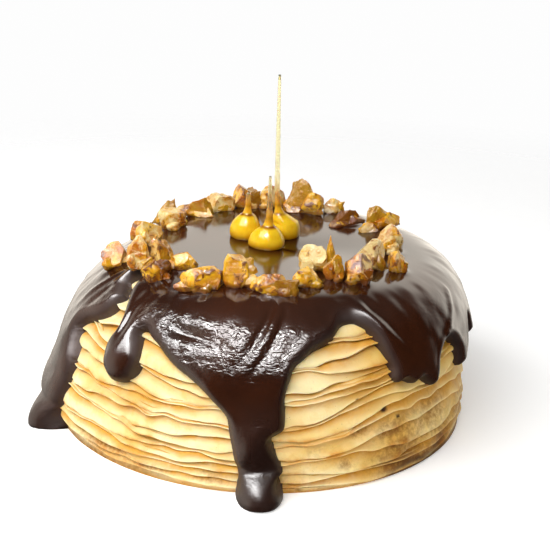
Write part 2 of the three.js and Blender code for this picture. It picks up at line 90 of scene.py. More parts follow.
# Where the hanging edges of neighbouring crepes climb together and fall back.
FOLDS = [
    {"crepe": 9, "reach": 4.5, "lift": 11, "climb": (6, 38), "fall": (62, 105)},
    {"crepe": 6, "reach": 2.6, "lift": 8, "climb": (15, 42), "fall": (55, 90)},
    {"crepe": 12, "reach": 4, "lift": -5, "climb": (-40, -22), "fall": (-12, 8)},
    {"crepe": 7, "reach": 3, "lift": 5, "climb": (120, 140), "fall": (160, 175)},
    {"crepe": 11, "reach": 4, "lift": -6, "climb": (-150, -135), "fall": (-120, -100)},
]
PAIRING = {"at": -50, "width": 24, "shift": 2.8}  # here every other edge meets the next

# ---- Numbers and waves ------------------------------------------------------------------


def seeded(a, b):
    """A repeatable number from 0 to 1 for each pair of numbers."""
    x = math.sin(a * 127.1 + b * 311.7) * 43758.5453
    return x - math.floor(x)


def lerp(a, b, share):
    return a + (b - a) * share


def smoothstep(x, low, high):
    t = np.clip((x - low) / (high - low), 0, 1)
    return t * t * (3 - 2 * t)


def bump(x, middle, half):
    """A smooth hill, 1 at its middle."""
    return np.exp(-(((x - middle) / half) ** 2))


def spot(azimuth, height, at, level, half, tall, amount):
    """A smooth hill of a given amount round a place on the cake's side."""
    across = turn_between(azimuth, at) * MM_PER_DEGREE
    return amount * bump(across, 0, half) * bump(height, level, tall)


def dome(share):
    """A quarter round: 0 at 0, steep at first, and 1 from 1 on."""
    return np.sqrt(1 - (1 - np.clip(share, 0, 1)) ** 2)


def turn_between(a, b):
    """The turn from b to a in degrees, from -180 to 180."""
    return (a - b + 180) % 360 - 180


RIPPLE_PEAK = 1.6


def ripple(azimuth, seed, first, last):
    """A smooth wave round the cake, roughly from -1 to 1, of `first` to `last` periods."""
    angle = np.radians(azimuth)
    total = np.zeros_like(angle)
    for periods in range(first, last + 1):
        phase = 2 * math.pi * seeded(seed, periods)
        total += np.sin(periods * angle + phase) / math.sqrt(periods)
    power = sum(0.5 / periods for periods in range(first, last + 1))
    return total / math.sqrt(power) / RIPPLE_PEAK


def lumps(points, *layers):
    """Smooth lumps and hollows at each point: a (height, size, seed) for each layer."""
    total = 0
    for height, size, seed in layers:
        offset = Vector((seed * 17.3, seed * 5.1, seed * 9.7))
        level = [noise.noise(Vector(p) / size + offset) for p in points]
        total = total + height * np.array(level)
    return total


def side_size(size, azimuth):
    """A size at an azimuth, between its values for the left, the front and the right."""
    s = np.sin(np.radians(azimuth))
    to_right = (size["right"] - size["front"]) * np.maximum(s, 0)
    to_left = (size["left"] - size["front"]) * np.maximum(-s, 0)
    return size["front"] + to_right + to_left


def outer_form(azimuth, way):
    """Radius and height of the stack's outer form. `way` runs from 0 to 1 over the flat top,
    to 2 over the round shoulder and to 3 down the side."""
    foot = side_size(FOOT_RADIUS, azimuth)
    flat = side_size(FLAT_TOP_RADIUS, azimuth)
    waist = side_size(SHOULDER_FOOT, azimuth)
    power = 2 / side_size(SHOULDER_POWER, azimuth)
    angle = np.clip(way - 1, 0, 1) * math.pi / 2
    rise = np.maximum(np.cos(angle), 0) ** power
    reach = np.maximum(np.sin(angle), 0) ** power
    drop = np.clip(way, 2, 3) - 2
    radius = np.where(way <= 1, flat * way, lerp(flat, foot, reach))
    radius = radius + WAIST_BULGE * np.sin(BULGE_HALF_TURNS * math.pi * drop)
    height = np.where(way <= 2, lerp(waist, STACK_HEIGHT, rise), waist * (1 - drop))
    aside = FLARE["reach"] * bump(turn_between(azimuth, FLARE["at"]), 0, FLARE["half"])
    return radius + aside * bump(height, FLARE["height"], FLARE["tall"]), height


def way_at(azimuth, height):
    """The `way` at which the outer form is at a height."""
    waist = side_size(SHOULDER_FOOT, azimuth)
    rise = np.clip((height - waist) / (STACK_HEIGHT - waist), 0, 1)
    shoulder = 1 + np.arccos(rise ** (side_size(SHOULDER_POWER, azimuth) / 2)) / (math.pi / 2)
    return np.where(height < waist, 3 - height / waist, shoulder)


def form_point(azimuth, way, offset):
    """A point of the outer form moved out by `offset`, square to it."""
    step = 0.01
    radius, height = outer_form(azimuth, way)
    before = outer_form(azimuth, np.clip(way - step, 1, 3))
    after = outer_form(azimuth, np.clip(way + step, 1, 3))
    along_radius, along_height = after[0] - before[0], after[1] - before[1]
    length = np.maximum(np.hypot(along_radius, along_height), 1e-9)
    side = way > 1
    out_radius = np.where(side, -along_height / length, 0)
    out_height = np.where(side, along_radius / length, 1)
    return radius + out_radius * offset, height + out_height * offset


def place(azimuth, radius, height):
    """Points at an azimuth, a distance from the cake's axis and a height."""
    angle = np.radians(azimuth)
    return np.stack([radius * np.sin(angle), -radius * np.cos(angle), height], axis=-1)


# ---- Finished pieces --------------------------------------------------------------------


def finished(name, bm, points, nodes, material, attributes=None, crisp=None):
    """Writes a bmesh out as a piece with its points in millimetres and its finish."""
    mesh = bpy.data.meshes.new(name)
    bm.to_mesh(mesh)
    bm.free()
    mesh.vertices.foreach_set("co", (np.asarray(points, dtype=float) * MM).ravel())
    for label, values in (attributes or {}).items():
        layer = mesh.attributes.get(label) or mesh.attributes.new(label, "FLOAT", "POINT")
        layer.data.foreach_set("value", np.asarray(values, dtype=float).ravel())
    mesh.materials.append(material)
    mesh.update()
    mesh.shade_smooth()
    if crisp:
        mesh.set_sharp_from_angle(angle=math.radians(crisp))
    piece = bpy.data.objects.new(name, mesh)
    bpy.context.scene.collection.objects.link(piece)
    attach(piece, "root")
    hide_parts(*nodes)


def corners(bm):
    return np.array([v.co[:] for v in bm.verts])


def set_corners(bm, points):
    for vert, point in zip(bm.verts, points):
        vert.co = point


def paint(bm, label, values):
    """Gives each point of a mesh its value of an attribute."""
    layers = bm.verts.layers.float
    layer = layers.get(label) or layers.new(label)
    for vert, value in zip(bm.verts, values):
        vert[layer] = value


# ---- Materials: helpers -----------------------------------------------------------------


class Finish:
    """A node material round one Principled shader, with short calls for its nodes."""

    def __init__(self, name, **sockets):
        self.material = bpy.data.materials.new(name)
        self.material.use_nodes = True
        self.tree = self.material.node_tree
        self.shader = self.tree.nodes["Principled BSDF"]
        for label, value in sockets.items():
            self.shader.inputs[label.replace("_", " ")].default_value = value
        self.coordinates = self.tree.nodes.new("ShaderNodeTexCoord").outputs["Object"]

    def add(self, kind, inputs=None, **settings):
        made = self.tree.nodes.new(kind)
        for label, value in settings.items():
            setattr(made, label, value)
        for label, value in (inputs or {}).items():
            self.put(made.inputs[label], value)
        return made

    def put(self, socket, value):
        """Links a socket to another node's, or sets its value."""
        if isinstance(value, bpy.types.NodeSocket):
            self.tree.links.new(value, socket)
        else:
            socket.default_value = value

    def attribute(self, label):
        return self.add("ShaderNodeAttribute", attribute_name=label).outputs["Fac"]

    def noise(self, scale, detail=3, rough=0.5, distortion=0.0, vector=None):
        """Noise of about `scale` lumps to the metre."""
        inputs = {"Vector": vector or self.coordinates, "Scale": scale, "Detail": detail}
        inputs.update({"Roughness": rough, "Distortion": distortion})
        return self.add("ShaderNodeTexNoise", inputs).outputs["Fac"]

    def cells(self, scale):
        """Distance from the middles of cells, about `scale` of them to the metre."""
        inputs = {"Vector": self.coordinates, "Scale": scale}
        return self.add("ShaderNodeTexVoronoi", inputs).outputs["Distance"]

    def span(self, value, low, high, to_low=0.0, to_high=1.0):
        """Where a value lies between `low` and `high`, from `to_low` to `to_high`."""
        inputs = {"Value": value, "From Min": low, "From Max": high}
        inputs.update({"To Min": to_low, "To Max": to_high})
        return self.add("ShaderNodeMapRange", inputs).outputs["Result"]

    def maths(self, operation, a, b, clamp=False):
        made = self.add("ShaderNodeMath", operation=operation, use_clamp=clamp)
        self.put(made.inputs[0], a)
        self.put(made.inputs[1], b)
        return made.outputs[0]

    def times(self, a, b, clamp=False):
        return self.maths("MULTIPLY", a, b, clamp)

    def plus(self, a, b, clamp=False):
        return self.maths("ADD", a, b, clamp)

    def mix(self, share, a, b):
        made = self.add("ShaderNodeMix", data_type="RGBA")
        self.put(made.inputs[0], share)
        self.put(made.inputs[6], a)
        self.put(made.inputs[7], b)
        return made.outputs[2]

    def bump(self, height, depth, strength):
        """Relief of `depth` millimetres."""
        inputs = {"Height": height, "Distance": depth * MM, "Strength": strength}
        return self.add("ShaderNodeBump", inputs).outputs["Normal"]

    def set(self, **sockets):
        """Sets or links the shader's sockets; the finished material."""
        for label, value in sockets.items():
            self.put(self.shader.inputs[label.replace("_", " ")], value)
        return self.material


def shade(red, green, blue):
    """A display colour from 0 to 255 as the shader's linear one."""
    linear = []
    for level in (red / 255, green / 255, blue / 255):
        linear.append(level / 12.92 if level < 0.04045 else ((level + 0.055) / 1.055) ** 2.4)
    return (*linear, 1.0)


# ---- The crepes -------------------------------------------------------------------------


def crepe_finish():
    """Pale batter, browned in places, with a painted golden shadow under the edge of the crepe
    above, painted shade turning the right-hand side and back golden, and a painted pale
    highlight along the edges, which are browned in places instead.
    """
    f = Finish(
        "fried_batter", Roughness=0.6, Specular_IOR_Level=0.3, Subsurface_Weight=0.35,
        Subsurface_Scale=0.002, Subsurface_Radius=(1.0, 0.6, 0.25),
    )
    rim_shadow, edge, toast = (f.attribute(label) for label in ("rim_shadow", "edge", "toast"))
    soft = f.noise(38, 3)
    patches = f.noise(120, 4, 0.62, 0.4)
    lace = f.noise(430, 4, 0.65)
    pale = f.mix(f.span(soft, 0.35, 0.65), shade(247, 228, 176), shade(243, 214, 146))
    # Painted shade: the faces on the right-hand side and round the back are painted darker gold.
    side_shade = f.times(f.attribute("side_shade"), f.span(soft, 0.3, 0.6, 0.35, 1.0))
    pale = f.mix(side_shade, pale, shade(226, 182, 68))
    # Painted shade: a golden shadow painted just under the edge of the crepe above, fading down
    # each face.
    golden = f.mix(patches, shade(184, 116, 18), shade(220, 160, 44))
    rim_shadow_share = f.times(rim_shadow, f.span(patches, 0.3, 0.62, 0.65, 1.15), clamp=True)
    batter = f.mix(rim_shadow_share, pale, golden)
    batter = f.mix(f.times(f.span(patches, 0.5, 0.66), 0.4), batter, shade(232, 186, 96))

    browned = f.mix(lace, shade(86, 46, 8), shade(170, 112, 36))
    fried = f.plus(toast, f.span(lace, 0.35, 0.7, -0.45, 0.35), clamp=True)
    fried = f.times(fried, f.times(toast, 2.0, clamp=True))
    batter = f.mix(fried, batter, browned)
    charred = f.times(f.span(toast, 0.9, 1.5), f.span(lace, 0.4, 0.6, 0.5, 1.0))
    batter = f.mix(charred, batter, shade(56, 25, 8))

    # The edges: a painted pale highlight along them, paler gold on the painted-shade side, and
    # browned in patches.
    edge_light_and_browning = f.mix(side_shade, shade(252, 234, 186), shade(232, 196, 108))
    edge_light_and_browning = f.mix(f.span(soft, 0.48, 0.6), edge_light_and_browning, shade(212, 142, 50))
    batter = f.mix(f.times(edge, f.span(patches, 0.4, 0.6, 0.35, 0.8)), batter, edge_light_and_browning)
    pores = f.span(f.cells(560), 0.05, 0.13, 1.0, 0.0)
    sparse = f.span(f.noise(150, 1), 0.5, 0.58)
    batter = f.mix(f.times(f.times(pores, sparse), 0.65), batter, shade(128, 84, 38))
    batter = f.mix(f.attribute("smear"), batter, shade(58, 26, 12))
    relief = f.plus(f.times(f.noise(850, 3), 0.3), f.noise(150, 3))
    return f.set(Base_Color=batter, Normal=f.bump(relief, 0.6, 0.6))


def rim_heights(azimuth):
    """The heights of all the hanging edges, from the bottom crepe up, at each azimuth."""
    heights = []
    for crepe in range(1, CREPES + 1):
        share = (crepe - 1) / (CREPES - 1)
        height = LOWEST_RIM + RIM_PITCH * (crepe - 1) - RIM_CROWDING * math.sin(math.pi * share)
        height = np.full_like(azimuth, height)
        for fold in FOLDS:
            amount = smoothstep(azimuth, *fold["climb"]) - smoothstep(azimuth, *fold["fall"])
            height += fold["lift"] * amount * bump(crepe, fold["crepe"], fold["reach"] / 1.5)
        if crepe % 2:
            paired = bump(azimuth, PAIRING["at"], PAIRING["width"])
            height -= PAIRING["shift"] * paired * math.sin(math.pi * share)
        freedom = min(1, 0.3 + 3 * share)  # the lowest edges have less room to wave
        height += RIM_WAVE * freedom * ripple(azimuth, crepe, 2, 9)
        height += RIM_NIBBLE * freedom * ripple(azimuth, crepe + 80, 11, 46)
        closing = RIM_CLOSING if crepe % 2 else -RIM_CLOSING
        height += closing * freedom * ripple(azimuth, crepe // 4 + 120, 2, 6)
        least = heights[-1] + LEAST_RIM_STEP if heights else FIRST_RIM_LEAST
        heights.append(np.maximum(height, least))
    highest = [HIGHEST_RIM - (CREPES - crepe) * LEAST_RIM_STEP for crepe in range(1, CREPES + 1)]
    return [np.minimum(height, most) for height, most in zip(heights, highest)]


def set_back(crepe, azimuth):
    """How far inside the outer form a crepe's hanging edge lies."""
    uneven = np.clip(0.5 + 0.6 * ripple(azimuth, crepe + 40, 3, 12), 0, 1)
    ruffle = CREPE_RUFFLE * ripple(azimuth, crepe + 60, 9, 34)
    return CREPE_SET_BACK + CREPE_CLEAR + CREPE_UNEVEN * uneven + ruffle


def curl(crepe, azimuth):
    """How far a crepe's hanging edge curls out of its face."""
    return CREPE_CURL * np.clip(0.15 + 0.8 * ripple(azimuth, crepe + 140, 3, 16), 0, 1)


def middle_height(crepe):
    return (STACK_HEIGHT - CREPE_SET_BACK) * crepe / CREPES


FACE_ROWS = 11           # rows of points down the part of a crepe that shows
TUCK = 3.0               # a crepe shows from this far up behind the edge above it
HIGHEST_TUCK = STACK_HEIGHT - 2
TOP_ROWS = 12
RECESS = 0.7             # how far a face lies back under the edge above it
EDGE_CREASE = 0.25       # how far a face hollows just under the edge above it
CREASE_DEPTH = 0.8       # and over about this height
FACE_SAG = 0.6           # a face swells or sinks by this much halfway down
EDGE_TURN = (15, 55, 95, 135, 175)  # a section of the rounded edge, in degrees
# Over how many millimetres the painted golden shadow under the edge above fades down a face:
# at least this, up to this much more from place to place, and up to this much more on the
# right, between these azimuths.
SHADOW_FADE_LEAST, SHADOW_FADE_MORE, SHADOW_FADE_RIGHT = 2.4, 2.4, 1.6
SHADOW_FADE_RIGHT_FROM = (5, 35)
# Smears of chocolate on the crepes: azimuth, height and size.
SMEARS = [(34.5, 36, 2.0), (39.6, 30, 1.3), (37.2, 33.5, 0.9), (26, 44, 0.7)]
# Browned patches: azimuth, height, half the width and height, and how brown.
PATCHES = [
    (26, 29, 6, 3.5, 0.8), (36, 9, 12, 4, 0.9), (36, 25, 9, 5, 0.6), (23, 12, 4, 3, 0.6),
    (-14, 6, 9, 3.5, 0.6), (45, 2, 18, 2.6, 1.5), (43, 7, 12, 4, 0.5), (60, 6, 8, 6, 0.8),
    (54, 28, 12, 9, 0.5), (40, 25, 12, 7, 0.3), (41, 16, 10, 3, 0.6), (-48, 8, 14, 2.2, 0.6),
    (-30, 5, 12, 2, 0.7), (-33, 33, 8, 2, 0.35), (-22, 27, 9, 1.6, 0.3),
    (-60, 16, 8, 2, 0.35), (14, 20, 6, 2, 0.25),
]
# Broad browning: how brown the crepes get on the right, on the left and behind, unevenly all
# round, and along the foot.
BROWN_RIGHT, BROWN_LEFT, BROWN_AROUND, BROWN_FOOT = 0.42, 0.25, 0.25, 0.45
# It starts or ends between these azimuths,
BROWN_RIGHT_FROM, BROWN_RIGHT_TO, BROWN_LEFT_FROM = (28, 48), (120, 150), (-20, -50)
# and fades out between these heights.
BROWN_LOW, BROWN_LEFT_LOW, BROWN_FOOT_LOW = (4, 42), (2, 13), (0, 3.5)
CHARRED = 1.5            # the most browned that a place gets
# Painted shade: the right-hand side and the back, away from the key light, are painted darker
# gold; how much, how unevenly, and between which azimuths it comes in.
SIDE_SHADE, SIDE_SHADE_UNEVEN = 0.85, 0.25  # how golden the right-hand side and the back are
SIDE_SHADE_FROM, SIDE_SHADE_LEFT_FROM = (5, 40), (-80, -130)  # they turn so between these azimuths


def toast_at(azimuth, height):
    """How browned the crepes are, most of all along the bottom and low on the right."""
    right = smoothstep(azimuth, *BROWN_RIGHT_FROM) * (1 - smoothstep(azimuth, *BROWN_RIGHT_TO))
    low = 1 - smoothstep(height, *BROWN_LOW)
    left = smoothstep(azimuth, *BROWN_LEFT_FROM) * (1 - smoothstep(height, *BROWN_LEFT_LOW))
    around = 0.5 + 0.5 * ripple(azimuth, 7, 2, 8)
    foot = 1 - smoothstep(height, *BROWN_FOOT_LOW)
    total = BROWN_RIGHT * right * low + BROWN_LEFT * left + BROWN_AROUND * around * low
    total += BROWN_FOOT * foot * (0.3 + right)
    for patch in PATCHES:
        total += spot(azimuth, height, *patch)
    return np.clip(total, 0, CHARRED)


def side_shade_at(azimuth, height):
    """Painted shade: how much the faces are painted darker gold, more on the right-hand side
    and round the back, away from the key light.
    """
    right = smoothstep(azimuth, *SIDE_SHADE_FROM) + smoothstep(azimuth, *SIDE_SHADE_LEFT_FROM)
    return np.clip(SIDE_SHADE * right + SIDE_SHADE_UNEVEN * ripple(azimuth + height, 31, 3, 11), 0, 1)


def smear_at(azimuth, height):
    """Where chocolate is smeared on the crepes."""
    total = np.zeros_like(azimuth)
    for at, level, size in SMEARS:
        away = np.hypot(turn_between(azimuth, at) * MM_PER_DEGREE, (height - level) * 1.4)
        total += 1 - smoothstep(away, size * 0.6, size * 1.3)
    return np.clip(total, 0, 1)


# The parts of a crepe's section are rows of (radius, height, painted shadow, edge), from the
# middle of its upper face outwards. The painted shadow is 1 where the crepe above covers it and
# fades down a face from just under the edge above; edge is 1 on its edge.


def crepe_top(azimuth, rim):
    """The top crepe's upper face, over the round shoulder and down to its edge."""
    rim_way = way_at(azimuth, rim)
    rows = []
    for row in range(TOP_ROWS):
        way = lerp(1.0, rim_way, (row / TOP_ROWS) ** 0.8)
        rows.append((*form_point(azimuth, way, -CREPE_SET_BACK - 0.2), 0, 0))
    return rows


def crepe_face(crepe, azimuth, rims):
    """The part of a crepe that shows, between the edge above it and its own."""
    rim, above = rims[crepe - 1], rims[crepe]
    back = set_back(crepe, azimuth)
    behind = set_back(crepe + 1, azimuth) + CREPE_EDGE + CREPE_GAP
    tuck_way = way_at(azimuth, np.minimum(above + TUCK, HIGHEST_TUCK))
    rows = [(*form_point(azimuth, tuck_way, -behind - 0.6), 1, 0)]
    sag = FACE_SAG * ripple(azimuth, crepe + 100, 5, 26)
    # The painted golden shadow under the edge above: how strong it is, and over how far it fades
    # down the face.
    golden = np.clip(0.85 + 0.5 * ripple(azimuth, crepe + 160, 2, 14), 0.35, 1)
    more = np.clip(0.5 + 0.5 * ripple(azimuth, crepe + 180, 2, 9), 0, 1)
    fade = SHADOW_FADE_LEAST + SHADOW_FADE_MORE * more
    fade = fade + SHADOW_FADE_RIGHT * smoothstep(azimuth, *SHADOW_FADE_RIGHT_FROM)
    for row in range(FACE_ROWS):
        share = (row / FACE_ROWS) ** 1.15
        height = lerp(above + 0.5, rim + 0.5, share)
        drop = np.maximum(above - height, 0)
        offset = -lerp(behind + RECESS, back, share**0.6)
        offset = offset + sag * math.sin(math.pi * share)
        offset = offset - EDGE_CREASE * np.exp(-drop / CREASE_DEPTH) * (1 - share)
        offset = offset + curl(crepe, azimuth) * share**4
        radius, height = form_point(azimuth, way_at(azimuth, height), offset)
        rim_shadow = golden * (1 - smoothstep(drop, 0.3, 1.6 * fade))
        rows.append((radius, height, rim_shadow, share**5))
    return rows


def crepe_edge(crepe, azimuth, rim, back):
    """The rounded hanging edge, with the curl that it has in places."""
    half = CREPE_EDGE / 2
    rows = []
    for degrees in EDGE_TURN:
        angle = math.radians(degrees)
        offset = curl(crepe, azimuth) - back - half + half * math.cos(angle)
        radius, height = form_point(azimuth, way_at(azimuth, rim + half), offset)
        rows.append((radius, np.maximum(height - half * math.sin(angle), 0), 0, 1))
    return rows


def crepe_inside(crepe, azimuth, rim, back):
    """The lower face, on the crepe below or, at the bottom, flat on the table."""
    if crepe == 1:
        radius = outer_form(azimuth, way_at(azimuth, rim))[0] - BOTTOM_INSET
        return [(radius, 0, 1, 0), (0, 0, 0, 0)]
    inner_way = way_at(azimuth, np.minimum(rim + TUCK - 0.6, HIGHEST_TUCK))
    inner = form_point(azimuth, inner_way, -back - CREPE_EDGE)
    return [(*inner, 1, 0), (0, middle_height(crepe - 1) + CREPE_GAP, 0, 0)]


def crepe_piece(crepe, azimuth, rims, material):
    """A thin crepe that lies on the one below and hangs down over its edge."""
    rim = rims[crepe - 1]
    back = set_back(crepe, azimuth)
    stations = [(0, middle_height(crepe), 0, 0)]
    stations += crepe_top(azimuth, rim) if crepe == CREPES else crepe_face(crepe, azimuth, rims)
    stations += crepe_edge(crepe, azimuth, rim, back)
    stations += crepe_inside(crepe, azimuth, rim, back)
    flat = np.zeros_like(azimuth)
    radius, height, rim_shadow, edge = (
        np.array([flat + value for value in values]) for values in zip(*stations)
    )

    bm = bmesh.new()
    rows = len(stations) - 1
    bmesh.ops.create_uvsphere(bm, u_segments=CREPE_COLUMNS, v_segments=rows, radius=1)
    ball = corners(bm)
    row = np.rint(np.arccos(np.clip(ball[:, 2], -1, 1)) / math.pi * rows).astype(int)
    turn = np.degrees(np.arctan2(ball[:, 0], -ball[:, 1]))
    column = np.rint((turn + 180) / 360 * CREPE_COLUMNS).astype(int) % CREPE_COLUMNS
    points = place(azimuth[column], radius[row, column], height[row, column])
    unevenness = lumps(points, (0.35, 9, crepe), (0.15, 3.5, crepe + 20))
    showing = (row > 1) & (row < rows - 1) & (points[:, 2] > 1)
    points[:, :2] *= (1 + showing * unevenness / 100)[:, None]
    where = (azimuth[column], points[:, 2])
    shown = {
        "rim_shadow": rim_shadow[row, column],
        "edge": edge[row, column],
        "toast": toast_at(*where),
        "smear": smear_at(*where),
        "side_shade": side_shade_at(*where),
    }
    number = f"{crepe:02d}"
    finished(
        f"hanging_crepe_{number}", bm, points, [f"crepe_{number}"], material, shown
    )


def crepes():
    material = crepe_finish()
    azimuth = -180 + 360 * np.arange(CREPE_COLUMNS) / CREPE_COLUMNS
    rims = rim_heights(azimuth)
    for crepe in range(1, CREPES + 1):
        crepe_piece(crepe, azimuth, rims, material)


# ---- The glaze --------------------------------------------------------------------------

GLAZE_THICKNESS = 3.0
GLAZE_GAP = 0.3
LIP_WIDTH = 4.2
CONTACT = -2.6           # where the lip meets the crepes, against the stack's outer form
CELL = 1.15              # spacing of the glaze's points
TOP_RINGS = 30           # rings of points over the flat top
NEAR_TOP = STACK_HEIGHT - 2  # all of the glaze's edge lies below this height
FINE_REACH = 2.2         # this near to its edge the points are twice as close
SETTLING = 3             # rounds in which they settle between their neighbours
DIVE = 7.0               # outside its edge the sheet dives this far into the crepes
BELOW = -8               # a drip that stands on the table has its edge below the table
OUTSIDE = -2.6           # what lies further out than this goes
# The glaze is thinner on the right-hand side, and the heads of its drips are flatter there.
SIDE_THINNING = {"at": 85, "half": 32, "by": 1.4}
HEAD_THINNING = {"at": 90, "half": 25, "by": 0.6}
GLAZE_LUMPS = [(0.55, 14, 1), (0.25, 6, 2)]  # height, size and seed
ROLL = {"height": 0.4, "inside": 3.4, "half": 1.6}  # a low roll along the edge
FOOT_FLARE = 0.16        # a foot also spreads sideways, by this share
FOOT_WIDEST = 0.3        # and is widest at this share of its height
# Drips are rounder than the rest: azimuth, half the width, and how far up.
ROUNDED = [(-43, 10, 62), (0, 13, 46), (-73, 12, 50), (43, 14, 52), (69, 8, 50)]
LIP_ROUNDING = 5         # there the lip is this much wider
# The collars of glaze round the pieces on top: height, reach, and where they start, as a
# share of half a piece's width.
COLLAR_HEIGHT, COLLAR_REACH, COLLAR_START = 0.9, 1.7, 0.8
NUT_COLLAR = 0.3         # round a hazelnut it climbs only this high
COLLARS_ABOVE = 55       # on the side below this height there are none
THIN_EDGE = 1.5          # thin enough to look brown this near to the edge
# The edge is satin over this width, the drips and the feet by these shares, and the feet turn
# glossy between these heights.
SATIN_EDGE, SATIN_DRIP, SATIN_FOOT, SATIN_FOOT_TO = 2.6, 0.24, 0.45, (12, 26)
# The crinkled skin over the front shoulder fades in and out between these azimuths and
# heights. Its lower end rises towards the left, and a calm oval lies in it.
CRINKLED_LEFT, CRINKLED_RIGHT = (-46, -38), (6, 24)
CRINKLED_LOW, CRINKLED_TOP = 59, (73, 77.5)
CRINKLED_RISE, CRINKLED_RISE_FROM = 0.36, -16
CALM = {"at": -22, "half": 8, "height": 70.3, "tall": 2.2, "by": 0.7}
CRINKLED_REST, CRINKLED_DRIP = 0.12, 0.2  # elsewhere, and how much more on the feet's drips

# The glaze's lower edge across the front, from left to right: azimuth, height.
FRONT_EDGE = [
    (-85, 46), (-83.5, 22), (-81.5, 4), (-80, BELOW), (-69, BELOW), (-69, 0), (-69.5, 9),
    (-67.6, 20), (-65.6, 32), (-66, 41), (-68.5, 48), (-70, 54), (-68, 58.5),
    (-62.8, 62.5), (-60, 67), (-59.3, 73), (-62, 74.7), (-66, 76.7), (-65.5, 79.2),
    (-61.5, 78.8), (-57, 74.5), (-52.5, 71), (-48.8, 65.5), (-49.5, 60), (-49.6, 55),
    (-48, 48), (-45, 44), (-43, 43), (-40, 44.5), (-37.6, 48.5), (-36.6, 56), (-38, 62),
    (-40, 66.2), (-38.4, 68.3), (-35.6, 66.5), (-32, 64.5), (-28, 61), (-24, 57.5),
    (-20, 54.5), (-16, 50.5), (-13, 46), (-10.5, 42), (-9, 38), (-8.3, 31), (-7.5, 24),
    (-6.8, 18), (-5.5, 12), (-5.8, 6), (-6, 0), (-5, BELOW), (5, BELOW), (5.8, 0),
    (5.5, 5), (4.2, 10), (5.7, 13.5), (4.6, 18.5), (3.2, 24.5), (2.7, 29), (4, 31),
    (5.9, 34), (6, 43), (6, 49.5), (7.3, 57.5), (8.6, 62.5), (11, 65.5), (14, 69),
    (17.5, 71.2), (20.5, 73), (23.5, 76.3), (26, 77.2), (28.8, 77), (31.6, 74.3),
    (33.4, 70.2), (35, 62.3), (36, 57), (36.3, 51.5), (37.6, 48.8), (40, 49), (43.5, 45.6),
    (46, 47), (49, 42.8), (51, 40.7), (53, 43), (54, 48.6), (54.4, 53.5), (57, 57.4),
    (61, 59), (66, 52.5), (69, 42), (70.8, 38), (74, 39), (76.5, 47),
]
# Its drips down the side and back, from right to left: azimuth and height of the tip, and
# height of the arch beyond it.
BACK_DRIPS = [
    {"at": 84, "tip": 47, "arch": 66}, {"at": 99, "tip": 57, "arch": 70},
    {"at": 117, "tip": 30, "arch": 68}, {"at": 136, "tip": 49, "arch": 72},
    {"at": 155, "tip": 22, "arch": 67}, {"at": 174, "tip": 52, "arch": 73},
    {"at": 193, "tip": 36, "arch": 68}, {"at": 213, "tip": 20, "arch": 70},
    {"at": 233, "tip": 48, "arch": 66}, {"at": 252, "tip": 38, "arch": 58},
]
FIRST_ARCH = 62          # height of the arch between the front's edge and the first drip
DRIP_HALF = 4.6          # degrees
# A drip's side from its tip up: how far from its middle and how far up to the arch, as shares.
DRIP_SIDE = [(0.6, 0.06), (0.8, 0.3), (1.1, 0.75)]
DRIP_SWELL = 1.6
DRIP_HEAD = {"above": 7, "half": 7, "tall": 9}  # the swelling sits above the tip

# Thick places: azimuth, height, half the width and height, and how much thicker.
BEADS = [(-43, 52, 9, 12, 4), (-1, 27, 9, 14, 3), (-72, 40, 10, 18, 1.2), (45, 54, 14, 12, 1.6)]
BEAD_RISE = 9            # they start at the edge and are full this far inside it
# Drips that stand on the table, where they spread into a round foot.
FEET = [
    {"at": 0, "half": 12.5, "tall": 15, "reach": 13.5},
    {"at": -72, "half": 14, "tall": 14, "reach": 12},
]
# Folds that run down the glaze: azimuth and height where they start and where they end, how
# high they stand (or how deep, below 0) and half their width.
FLOW_FOLDS = [
    ((3, 82), (-7, 61), -1.3, 1.7), ((7, 80), (-3, 59), -1.3, 1.7),
    ((-1, 80), (-10, 63), 0.5, 2.2), ((5, 81), (-5, 60), 0.6, 1.8),
    ((31, 82), (39, 66), 0.5, 2.0), ((35, 80), (43, 64), -0.8, 2.4),
    ((59, 62), (57, 50), 1.0, 1.3), ((72, 75), (59, 62), 1.0, 1.6),
    ((-46, 72), (-44, 60), -0.9, 2.0), ((-31, 71), (-13, 69.5), -2.2, 2.6),
    ((-39, 74), (-22, 64), 0.5, 3.0), ((-72, 78), (-76, 60), 1.0, 2.5),
    ((-66, 76), (-70, 60), -0.8, 2.5),
]


def glaze_finish():
    """Dark glossy chocolate, crinkled where it stretched over the shoulder."""
    f = Finish("poured_chocolate", IOR=1.5, Specular_IOR_Level=1.0)
    soft = f.noise(30, 3)
    dark = f.mix(f.span(soft, 0.3, 0.7), shade(56, 25, 9), shade(36, 13, 4))
    dark = f.mix(f.times(f.attribute("thin"), 0.2), dark, shade(66, 28, 9))
    crinkle = f.attribute("crinkle")
    streaks = f.add("ShaderNodeMapping", {"Vector": f.coordinates, "Scale": (1.0, 1.0, 2.0)})
    wrinkles = f.noise(240, 2.0, 0.6, 0.7, streaks.outputs[0])
    uneven = f.span(f.noise(70, 2), 0.35, 0.65, 0.55, 1.15)
    height = f.times(f.times(wrinkles, crinkle), uneven)
    rough = f.span(f.attribute("satin"), 0.0, 1.0, 0.13, 0.62)
    rough = f.plus(rough, f.times(crinkle, 0.12))
    return f.set(Base_Color=dark, Roughness=rough, Normal=f.bump(height, 1.05, 1.0))


def catmull(a, b, c, d, t):
    """A point of the smooth curve between b and c, from the points before and after."""
    pull = 2 * b + (c - a) * t + (2 * a - 5 * b + 4 * c - d) * t * t
    return (pull + (3 * b - a - 3 * c + d) * t**3) / 2


